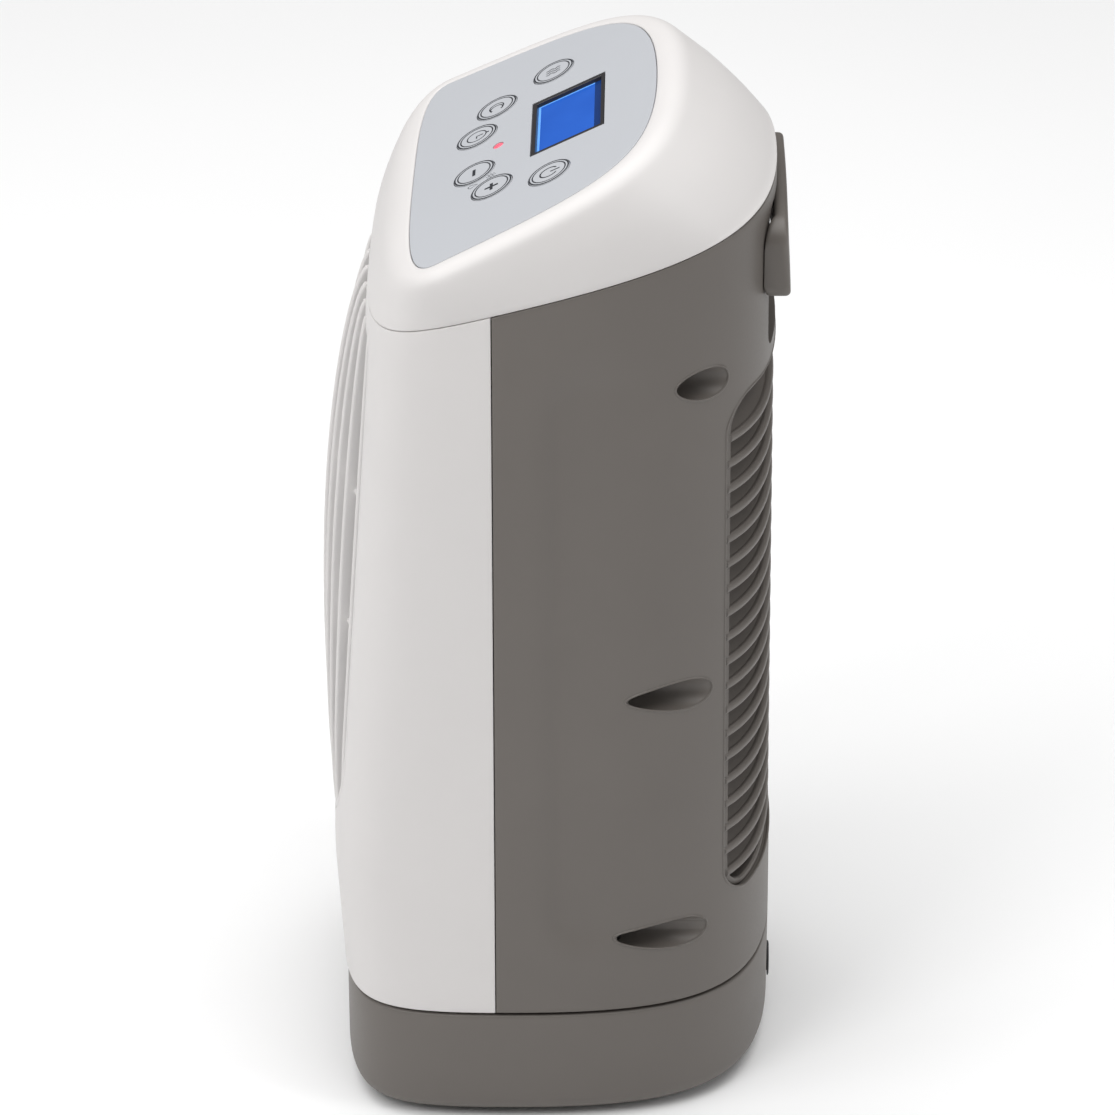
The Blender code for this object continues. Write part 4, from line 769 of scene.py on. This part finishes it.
# The share of the way from the frame's outer edge to its inner one, and millimetres behind the shell.
GRILLE_FRAME_SECTION = ((0, 0.6), (0.06, 0.25), (0.2, 0), (0.8, 0), (0.94, 0.25), (1, 0.6), (1, 9), (0, 9))
INLET_FRAME_SETBACK = 1.5 * MM
FIN_SETBACK = 0.35 * MM
FIN_LIP = 1.7 * MM
FIN_RISE = 6 * MM


def swell_y(x, z):
    """The swollen front of the outlet grille."""
    rise = min(1.0, max(0.0, (z - OUTLET_LOW) / (OUTLET_HIGH - OUTLET_LOW)))
    swell = SWELL * math.sqrt(max(0.0, math.sin(math.pi * rise ** SWELL_SKEW)))
    across = min(1.0, abs(x) / (outlet_half_width(z) - SWELL_MARGIN))
    return surface_y(x, z, False) - swell * (1 - across ** SWELL_POWER)


def make_front_grille():
    rings = []
    for (x1, z1), (x2, z2) in zip(outlet(GAP), outlet(GAP + 2.6 * MM)):
        y1, y2 = surface_y(x1, z1, False), surface_y(x2, z2, False)
        rings.append([(mix(x1, x2, share), mix(y1, y2, share) + back * MM, mix(z1, z2, share))
                      for share, back in GRILLE_FRAME_SECTION])
    pieces = [loft("grille_frame", rings, looped=True)]
    for i in range(-4, 5):
        x = i * SLAT_PITCH
        low = outlet_edge_z(abs(x) + 0.6 * MM) + 1.2 * MM
        rings = []
        steps = 64
        for step in range(steps + 1):
            # Closer steps at the ends, where the swell rises steeply.
            z = mix(low, OUTLET_HIGH - 0.8 * MM, 0.5 - 0.5 * math.cos(math.pi * step / steps))
            shell = surface_y(x, z, False)
            face = min(swell_y(x, z), shell + 0.4 * MM)
            back = max(face + 5.2 * MM, min(face + 9 * MM, shell + 1.5 * MM))
            section = []
            for a in range(9):
                turn = math.radians(180 * a / 8)
                section.append((x - SLAT_HALF * math.cos(turn), face + SLAT_HALF * (1 - math.sin(turn)), z))
            section += [(x + SLAT_HALF * 0.75, back, z), (x - SLAT_HALF * 0.75, back, z)]
            rings.append(section)
        pieces.append(loft(f"slat_{i}", rings))
    for number, z in enumerate(CROSSBARS_Z):
        reach = outlet_half_width(z) - 1.0 * MM
        rings = []
        steps = 60
        for step in range(steps + 1):
            x = mix(-reach, reach, step / steps)
            # The bar runs just behind the slats' fronts and comes forward to the frame at its ends.
            face = min(swell_y(x, z) + 3.0 * MM, surface_y(x, z, False) + 1.2 * MM)
            section = []
            for a in range(7):
                turn = math.radians(180 * a / 6)
                section.append((x, face + SLAT_HALF * (1 - math.sin(turn)), z - SLAT_HALF * math.cos(turn)))
            back = face + 4.2 * MM
            section += [(x, back, z + SLAT_HALF * 0.8), (x, back, z - SLAT_HALF * 0.8)]
            rings.append(section)
        pieces.append(loft(f"crossbar_{number}", rings))
    place_piece(merged("outlet_grille", pieces), WHITE, "front_grille")


def make_inlet_grille():
    rings = []
    for (x1, z1), (x2, z2) in zip(inlet(0.6 * MM), inlet(3.2 * MM)):
        y1 = surface_y(x1, z1, True) - INLET_FRAME_SETBACK
        y2 = surface_y(x2, z2, True) - INLET_FRAME_SETBACK
        outer, inner = 0.15, 0.75  # where the rounded top of the frame begins and ends
        rings.append([(x1, y1 - 10 * MM, z1), (x2, y2 - 10 * MM, z2), (x2, y2 - 0.8 * MM, z2),
                      (mix(x1, x2, inner), y2 - 0.1 * MM, mix(z1, z2, inner)),
                      (mix(x1, x2, outer), y1, mix(z1, z2, outer)), (x1, y1 - 0.4 * MM, z1)])
    pieces = [loft("inlet_frame", rings, looped=True)]
    steps = 36
    for i in range(19):
        z = (91.3 + 9.6 * i) * MM
        # How far this louvre reaches into the inlet's rounded corners.
        above, below = INLET_HIGH - z - FIN_LIP - FIN_RISE, z - FIN_LIP - INLET_LOW
        clear = max(0.0, INLET_CORNER - min(below, above))
        reach = INLET_HALF - 1.2 * MM - INLET_CORNER + math.sqrt(max(0.0, INLET_CORNER ** 2 - clear ** 2))
        rings = []
        for step in range(steps + 1):
            x = reach * math.sin(math.radians(mix(-80, 80, step / steps))) / math.sin(math.radians(80))
            rear = surface_y(x, z, True) - FIN_SETBACK
            section = []
            # A round lip, then a web that climbs inwards from it.
            for a in range(11):
                turn = math.radians(125 - 250 * a / 10)
                section.append((x, rear - FIN_LIP + FIN_LIP * math.cos(turn), z + FIN_LIP * math.sin(turn)))
            for depth, rise in ((5.0, 1.2), (9.0, 5.2), (9.0, 7.2), (5.0, 3.4)):
                section.append((x, rear - depth * MM, z + rise * MM))
            rings.append(section)
        pieces.append(loft(f"fin_{i}", rings))
    rear = surface_y(0, INLET_HIGH, True) - INLET_FRAME_SETBACK
    pieces.append(rounded_box("spine", (-1.5 * MM, rear - 9.2 * MM, 83.1 * MM),
                              (1.5 * MM, rear - 4 * MM, 277.9 * MM), 0.4 * MM))
    place_piece(merged("inlet_grille", pieces), TAUPE, "rear_inlet_grille")


# Handle ------------------------------

HANDLE_LOW = 307.5 * MM
HANDLE_HIGH = 335 * MM
HANDLE_END = 41 * MM
HANDLE_OUTER_Y = 79.2 * MM
HANDLE_BOW = 0.4 * MM
HANDLE_THICKNESS = 6 * MM
HANDLE_EDGE = 1.8 * MM
HANDLE_LEAN = 1.4 * MM


def make_handle():
    """A straight bar over the hand recess. Its outer face leans in upwards and its ends meet the wall."""
    rings = []
    steps = 72
    for step in range(steps + 1):
        x = -HANDLE_END * math.cos(math.pi * step / steps)
        outer = HANDLE_OUTER_Y - HANDLE_BOW * (x / HANDLE_END) ** 2
        wall = max(surface_y(abs(x), z, True) for z in (HANDLE_LOW, HANDLE_HIGH)) + 0.3 * MM
        inner = mix(outer - HANDLE_THICKNESS, wall, smooth((abs(x) - 30 * MM) / (5 * MM)))
        # The ends round off seen from above, and their corners seen from behind.
        outer -= rounded_off(abs(x), HANDLE_END, HANDLE_EDGE)
        top = HANDLE_HIGH - rounded_off(abs(x), HANDLE_END, 8 * MM)
        bottom = HANDLE_LOW + rounded_off(abs(x), HANDLE_END, 4 * MM)
        r = min(HANDLE_EDGE, (outer - inner) / 2.4, (top - bottom) / 2.05)
        lean = min(HANDLE_LEAN, (outer - inner - 2 * r) * 0.9)
        corners = ((outer - r - lean, top - r), (inner + r, top - r), (inner + r, bottom + r),
                   (outer - r, bottom + r))
        ring = []
        for quarter, (cy, cz) in enumerate(corners):
            for a in range(5):
                turn = math.radians(90 * quarter + 90 * a / 4)
                ring.append((x, cy + r * math.cos(turn), cz + r * math.sin(turn)))
        rings.append(ring)
    place_piece(loft("handle_bar", rings), TAUPE, "carry_handle", sharp=45)


def rounded_off(at, end, radius):
    """How far an edge is pulled in at a place near an end that is rounded to a radius."""
    past = max(0.0, at - (end - radius))
    return radius - math.sqrt(max(0.0, radius ** 2 - past ** 2))


# Cap and panel ------------------------------

OVERLAY = whole(quarters(((0, -54.9), (50, -55), (75.5, -54), (73.9, -43)),
                         ((73.9, -43), (69.5, 17), (69, 37.1), (0, 37.1)), 40)) * MM


def on_panel(x, v, height=0.0):
    return Vector((x, v * math.cos(PANEL_TILT) - height * math.sin(PANEL_TILT),
                   PANEL_Z + v * math.sin(PANEL_TILT) + height * math.cos(PANEL_TILT)))


CAP_EDGE = 8 * MM
CAP_BULGE_SIDE = 1 * MM
CAP_BULGE_REAR = 2.5 * MM
CAP_LOWER_ROUND = 0.35 * MM
CAP_TOP_ROUND = 6 * MM
CAP_SKIRT = 2.2 * MM
PANEL = Matrix.Translation((0, 0, PANEL_Z)) @ Matrix.Rotation(PANEL_TILT, 4, "X")


def make_cap():
    rim_points = [on_panel(x, v) for x, v in offset(OVERLAY, -GAP)]
    edge = [on_panel(x, v) for x, v in offset(OVERLAY, -CAP_EDGE)]
    seam = []
    for i, (_, y) in enumerate(whole(tower_half(SEAM_Z))):
        px, py = whole(tower_half(seam_z(y)))[i]
        seam.append(Vector((px, py, seam_z(py) + GAP / 2)))
    flat = [(p.x, p.y) for p in seam]

    def seam_ring(inward, rise):
        return [Vector((x, y, seam_z(y) + GAP / 2 + rise)) for x, y in offset(flat, inward)]

    wall = []
    for share in (0.0, 0.1, 0.2, 0.35, 0.5, 0.6):
        ring = []
        for low, high in zip(seam, edge):
            outward = Vector((low.x, low.y, 0)).normalized()
            bulge = mix(CAP_BULGE_SIDE, CAP_BULGE_REAR, max(0.0, outward.y)) * 4 * share * (1 - share)
            ring.append(low.lerp(high, share) + outward * bulge)
        wall.append(ring)
    r = CAP_LOWER_ROUND
    rings = [seam_ring(5 * MM, -CAP_SKIRT), seam_ring(2.6 * MM, -CAP_SKIRT), seam_ring(2.6 * MM, 0.0)]
    rings += [seam_ring(r * (1 - math.sin(a)), r * (1 - math.cos(a)))
              for a in (0, math.radians(30), math.radians(60))]
    rings.append([low + (first - low).normalized() * r for low, first in zip(wall[0], wall[1])])
    rings += wall[1:]
    # The upper edge is rounded by a curve from the wall to the rim.
    for k in range(9):
        t = k / 8
        ring = []
        for below, corner, inner in zip(wall[-1], edge, rim_points):
            start = corner + (below - corner).normalized() * CAP_TOP_ROUND
            stop = corner + (inner - corner).normalized() * CAP_TOP_ROUND
            ring.append(start * (1 - t) ** 2 + corner * (2 * t * (1 - t)) + stop * t ** 2)
        rings.append(ring)
    for inward, height in mm((-0.65, 0), (-0.4, -0.1), (-0.3, -0.35), (-0.3, -1.2), (4, -1.2), (4, -3.2),
                             (-1, -3.4)):
        rings.append([on_panel(x, v, height) for x, v in offset(OVERLAY, inward)])
    rings.append([Vector((p.x * 0.93, p.y * 0.93, p.z + 3 * MM)) for p in seam])
    cap = loft("cap_cover", rings, looped=True, capped=False)
    place_piece(cap, WHITE, "top_cap", sharp=50)


def panel_cylinder(name, x, v, radius, low, high, steps=64):
    return turned(name, ((0, low), (radius, low), (radius, high), (0, high)), steps,
                  Matrix.Translation((x, v, 0)))


LED_V = -22.5 * MM
LED_PROFILE = mm((0, 0.1), (0.8, 0.05), (1.4, -0.1), (1.75, -0.4), (1.75, -9), (0, -9))
KEY_TOP = 0.3 * MM
KEY_EDGE_TOP = 0.28 * MM
KEY_PROFILE = mm((0, 0.3), (5.7, 0.3), (6.7, 0.3), (7.2, 0.28), (7.5, 0.16), (7.6, -0.1), (7.6, -3.9),
                 (8.4, -3.9), (8.4, -8), (0, -8))
# Half width, lower edge, upper edge and height of each ring round the display.
BEZEL_RINGS = mm((21.6, -9.7, 17.5, -0.9), (21.6, -9.7, 17.5, -0.1), (21.5, -9.6, 17.4, 0),
                 (20.05, -8.35, 16.35, -0.05), (19.9, -8.2, 16.2, -0.2), (19.9, -8.2, 16.2, -1.9),
                 (21.2, -9.3, 17.1, -1.9))


def make_overlay():
    rows = [at_z(offset(OVERLAY, inward), z)
            for inward, z in mm((0, -0.9), (0, -0.2), (0.06, -0.06), (0.2, 0))]
    film = loft("overlay_film", rows)
    cutters = [panel_cylinder(f"hole_{n}", x * MM, v * MM, KEY_RADIUS + GAP, -3 * MM, 3 * MM)
               for n, (x, v) in KEYS.items()]
    cutters.append(panel_cylinder("led_hole", 0, LED_V, 2.05 * MM, -3 * MM, 3 * MM, 32))
    corners = mm((-21.9, -10), (21.9, -10), (21.9, 17.8), (-21.9, 17.8))
    cutters.append(prism_z("window_hole", corners, -3 * MM, 3 * MM))
    cut(film, *cutters)
    film.data.transform(PANEL)
    place_piece(film, SILVER, "control_overlay", sharp=20)


def strip(name, points, width, height=0.03 * MM, base=0.0, closed=False):
    """A printed line of constant width through plan points, with a little thickness of ink."""
    path = np.array(points, float)
    count = len(path)
    along = np.zeros_like(path)
    for i in range(count):
        before = path[(i - 1) % count] if closed else path[max(0, i - 1)]
        after = path[(i + 1) % count] if closed else path[min(count - 1, i + 1)]
        along[i] = (after - before) / np.linalg.norm(after - before)
    side = np.stack([-along[:, 1], along[:, 0]], 1) * width / 2
    rings = [[(*(p + s), base), (*(p - s), base), (*(p - s), base + height), (*(p + s), base + height)]
             for p, s in zip(path, side)]
    return loft(name, rings, looped=closed)


def circle(radius, centre=(0, 0), start=0.0, stop=360.0, steps=64):
    full = abs(stop - start) >= 360
    count = steps if full else steps + 1
    return [(centre[0] + radius * math.cos(math.radians(mix(start, stop, i / steps))),
             centre[1] + radius * math.sin(math.radians(mix(start, stop, i / steps)))) for i in range(count)]


def crescent():
    outer = circle(2.7 * MM, (0, 0), 40, 320, 30)
    inner = circle(2.35 * MM, (1.1 * MM, 0), 312, 48, 30)
    return outer + inner[1:-1]


def icon(name):
    """Printed rings and marks of a key, all generic. Each mark is (points, line width, closed)."""
    thin, bold = 0.46 * MM, 1.15 * MM
    marks = {
        "key_minus": [(mm((-2.4, 0), (2.4, 0)), bold, False)],
        "key_plus": [(mm(*ends), bold, False) for ends in (((-2.5, 0), (2.5, 0)), ((0, -2.5), (0, -0.58)),
                                                           ((0, 0.58), (0, 2.5)))],
        "key_sleep": [(crescent(), thin, True)],
        "key_timer": [(circle(3.6 * MM), thin, True), (mm((0, 2.4), (0, 0), (1.7, 0)), 0.6 * MM, False),
                      (mm((0, 3.8), (0, 4.7)), 0.8 * MM, False)],
        "key_power": [(circle(3.2 * MM, (0, 0), 122, 418, 44), 0.6 * MM, False),
                      (mm((0, 0.6), (0, 4)), 0.7 * MM, False)],
        "key_mode": [(mm(*[(k * 1.7 + 0.45 * math.sin(math.pi * t / 4), mix(-2.6, 2.6, t / 16))
                           for t in range(17)]), thin, False) for k in (-1, 0, 1)]}[name]
    rings = [strip(name + "_ring", circle(6.1 * MM), 0.5 * MM, base=KEY_TOP, closed=True),
             strip(name + "_rim", circle(7.22 * MM), 0.56 * MM, base=KEY_EDGE_TOP, closed=True)]
    return rings + [strip(f"mark_{i}", points, width, base=KEY_TOP, closed=closed)
                    for i, (points, width, closed) in enumerate(marks)]


def make_keys():
    for name, (x, v) in KEYS.items():
        place = PANEL @ Matrix.Translation((x * MM, v * MM, 0))
        place_piece(turned(name + "_cap", KEY_PROFILE, 72, place), SILVER, name)
        marks = merged(name + "_print", icon(name))
        marks.data.transform(place)
        place_piece(marks, INK, body=name)


def panel_box(name, low, high, radius):
    """A box on the panel, its corners in millimetres."""
    return rounded_box(name, *mm(low, high), radius, 1, PANEL)


def make_panel_details():
    # Display: a bezel that slopes in to a sunk backlit screen.
    bezel = loft("display_bezel", [[(-x, low, z), (x, low, z), (x, high, z), (-x, high, z)]
                                   for x, low, high, z in BEZEL_RINGS], looped=True)
    bezel.data.transform(PANEL)
    place_piece(bezel, BEZEL, "lcd_window")
    screen = panel_box("display_screen", (-20.6, -8.7, -9.5), (20.6, 16.5, -1.5), 0.05 * MM)
    place_piece(screen, SCREEN, "lcd_module")
    glow = panel_box("display_glow", (-19.9, -8.2, -1.55), (19.9, -7.3, -1.45), 0.02 * MM)
    side = panel_box("display_glow_side", (-19.9, -8.2, -1.56), (-19.1, 16.2, -1.46), 0.02 * MM)
    place_piece(merged("display_edge_glow", [glow, side]), SCREEN_EDGE, body="tower")
    # Painted shadow of the bezel: a dark blue band laid along the top edge of the sunk screen.
    painted_shadow_band = panel_box("display_painted_shadow_band", (-19.9, 13.2, -1.58), (19.9, 16.2, -1.44), 0.02 * MM)
    place_piece(painted_shadow_band, SCREEN_PAINTED_SHADOW, body="tower")
    lens = turned("status_light", LED_PROFILE, 40, PANEL @ Matrix.Translation((0, LED_V, 0)))
    place_piece(lens, LED, "led_lens")
    # Two small printed marks, a sun and a drop, between the minus and plus keys.
    sun, drop = mm((22.6, -24.5), (24.7, -31.9))
    marks = [strip("dot", circle(0.8 * MM, sun, steps=24), 0.25 * MM, closed=True)]
    for k, ray in enumerate(zip(circle(1.25 * MM, sun, steps=8), circle(1.8 * MM, sun, steps=8))):
        marks.append(strip(f"ray_{k}", ray, 0.22 * MM))
    outline = circle(1.1 * MM, drop, -220, 40, 13) + mm((24.7, -29.4))
    marks.append(strip("drop", outline, 0.25 * MM, closed=True))
    prints = merged("panel_print", marks)
    prints.data.transform(PANEL)
    place_piece(prints, INK, body="tower")


# Heater core, seen through the outlet ------------------------------

FIN_FOLDS = 78
FIN_HALF_THICKNESS = 0.18 * MM
RAIL = 0.4 * MM


def make_heater_core():
    for i in range(1, 4):
        low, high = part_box(f"heater_fin_bank_{i}")
        rings = []
        for k in range(FIN_FOLDS + 1):
            z = mix(low.z + FIN_HALF_THICKNESS, high.z - FIN_HALF_THICKNESS, k / FIN_FOLDS)
            x = low.x + RAIL if k % 2 else high.x - RAIL
            below, above = z - FIN_HALF_THICKNESS, z + FIN_HALF_THICKNESS
            rings.append([(x, low.y, below), (x, high.y, below), (x, high.y, above), (x, low.y, above)])
        pieces = [loft(f"fin_strip_{i}", rings)]
        pieces += [rounded_box("rail", (x, low.y, low.z), (x + RAIL, high.y, high.z), 0.05 * MM, 1)
                   for x in (low.x, high.x - RAIL)]
        place_piece(merged(f"corrugated_fins_{i}", pieces), ALUMINIUM, f"heater_fin_bank_{i}", sharp=30)


# Stage, lights and camera ------------------------------

FLOOR_HALF = 4.0
CAMERA_LENS = 161.4
CAMERA_AZIMUTH = 91
CAMERA_ELEVATION = 29
CAMERA_DISTANCE = 1.77
CAMERA_TARGET = Vector((0, 0, 0.1855))


def make_stage():
    corners = [(x, y, 0.0) for x in (-FLOOR_HALF, FLOOR_HALF) for y in (-FLOOR_HALF, FLOOR_HALF)]
    floor = from_faces("floor", corners, [(0, 2, 3, 1)])
    mat = material("studio_floor", (0.9, 0.9, 0.9), 0.75)
    tone = clouds(mat, 3.0, (0.89, 0.89, 0.89), (0.92, 0.92, 0.92))
    link(mat, tone, "Color", mat.node_tree.nodes["Principled BSDF"], "Base Color")
    floor.data.materials.append(mat)


def area(name, location, target, size, power):
    light = bpy.data.lights.new(name, "AREA")
    light.shape = "RECTANGLE"
    light.size, light.size_y = size
    light.energy = power
    made = bpy.data.objects.new(name, light)
    made.location = location
    made.rotation_euler = (Vector(target) - Vector(location)).to_track_quat("-Z", "Y").to_euler()
    bpy.context.scene.collection.objects.link(made)


def make_lights_and_camera():
    world = bpy.data.worlds.new("studio")
    world.use_nodes = True
    world.node_tree.nodes["Background"].inputs["Color"].default_value = (1, 1, 1, 1)
    world.node_tree.nodes["Background"].inputs["Strength"].default_value = 0.1
    bpy.context.scene.world = world
    aim = (0, 0, 0.19)
    area("top_light", (0, -0.1, 2.4), aim, (3.2, 3.2), 84)
    area("key_light", (0.85, -0.7, 1.2), aim, (0.5, 0.5), 4.5)
    area("front_light", (0.7, -1.8, 0.8), aim, (0.6, 0.8), 7)
    area("rear_light", (0.7, 1.8, 1.0), aim, (0.5, 1.0), 9)
    camera = bpy.data.cameras.new("photo_view")
    camera.lens = CAMERA_LENS
    camera.sensor_width = 36
    camera.clip_start = 0.05
    camera.clip_end = 50
    made = bpy.data.objects.new("photo_view", camera)
    azimuth, elevation = math.radians(CAMERA_AZIMUTH), math.radians(CAMERA_ELEVATION)
    back = Vector((math.sin(azimuth) * math.cos(elevation), -math.cos(azimuth) * math.cos(elevation),
                   math.sin(elevation)))
    made.location = CAMERA_TARGET + back * CAMERA_DISTANCE
    made.rotation_euler = (-back).to_track_quat("-Z", "Y").to_euler()
    bpy.context.scene.collection.objects.link(made)
    bpy.context.scene.camera = made
    bpy.context.scene.view_settings.view_transform = "Standard"


make_base()
make_base_details()
make_front_shell()
make_rear_shell()
make_shell_screws()
make_front_grille()
make_inlet_grille()
make_handle()
make_cap()
make_overlay()
make_keys()
make_panel_details()
make_heater_core()
make_stage()
make_lights_and_camera()
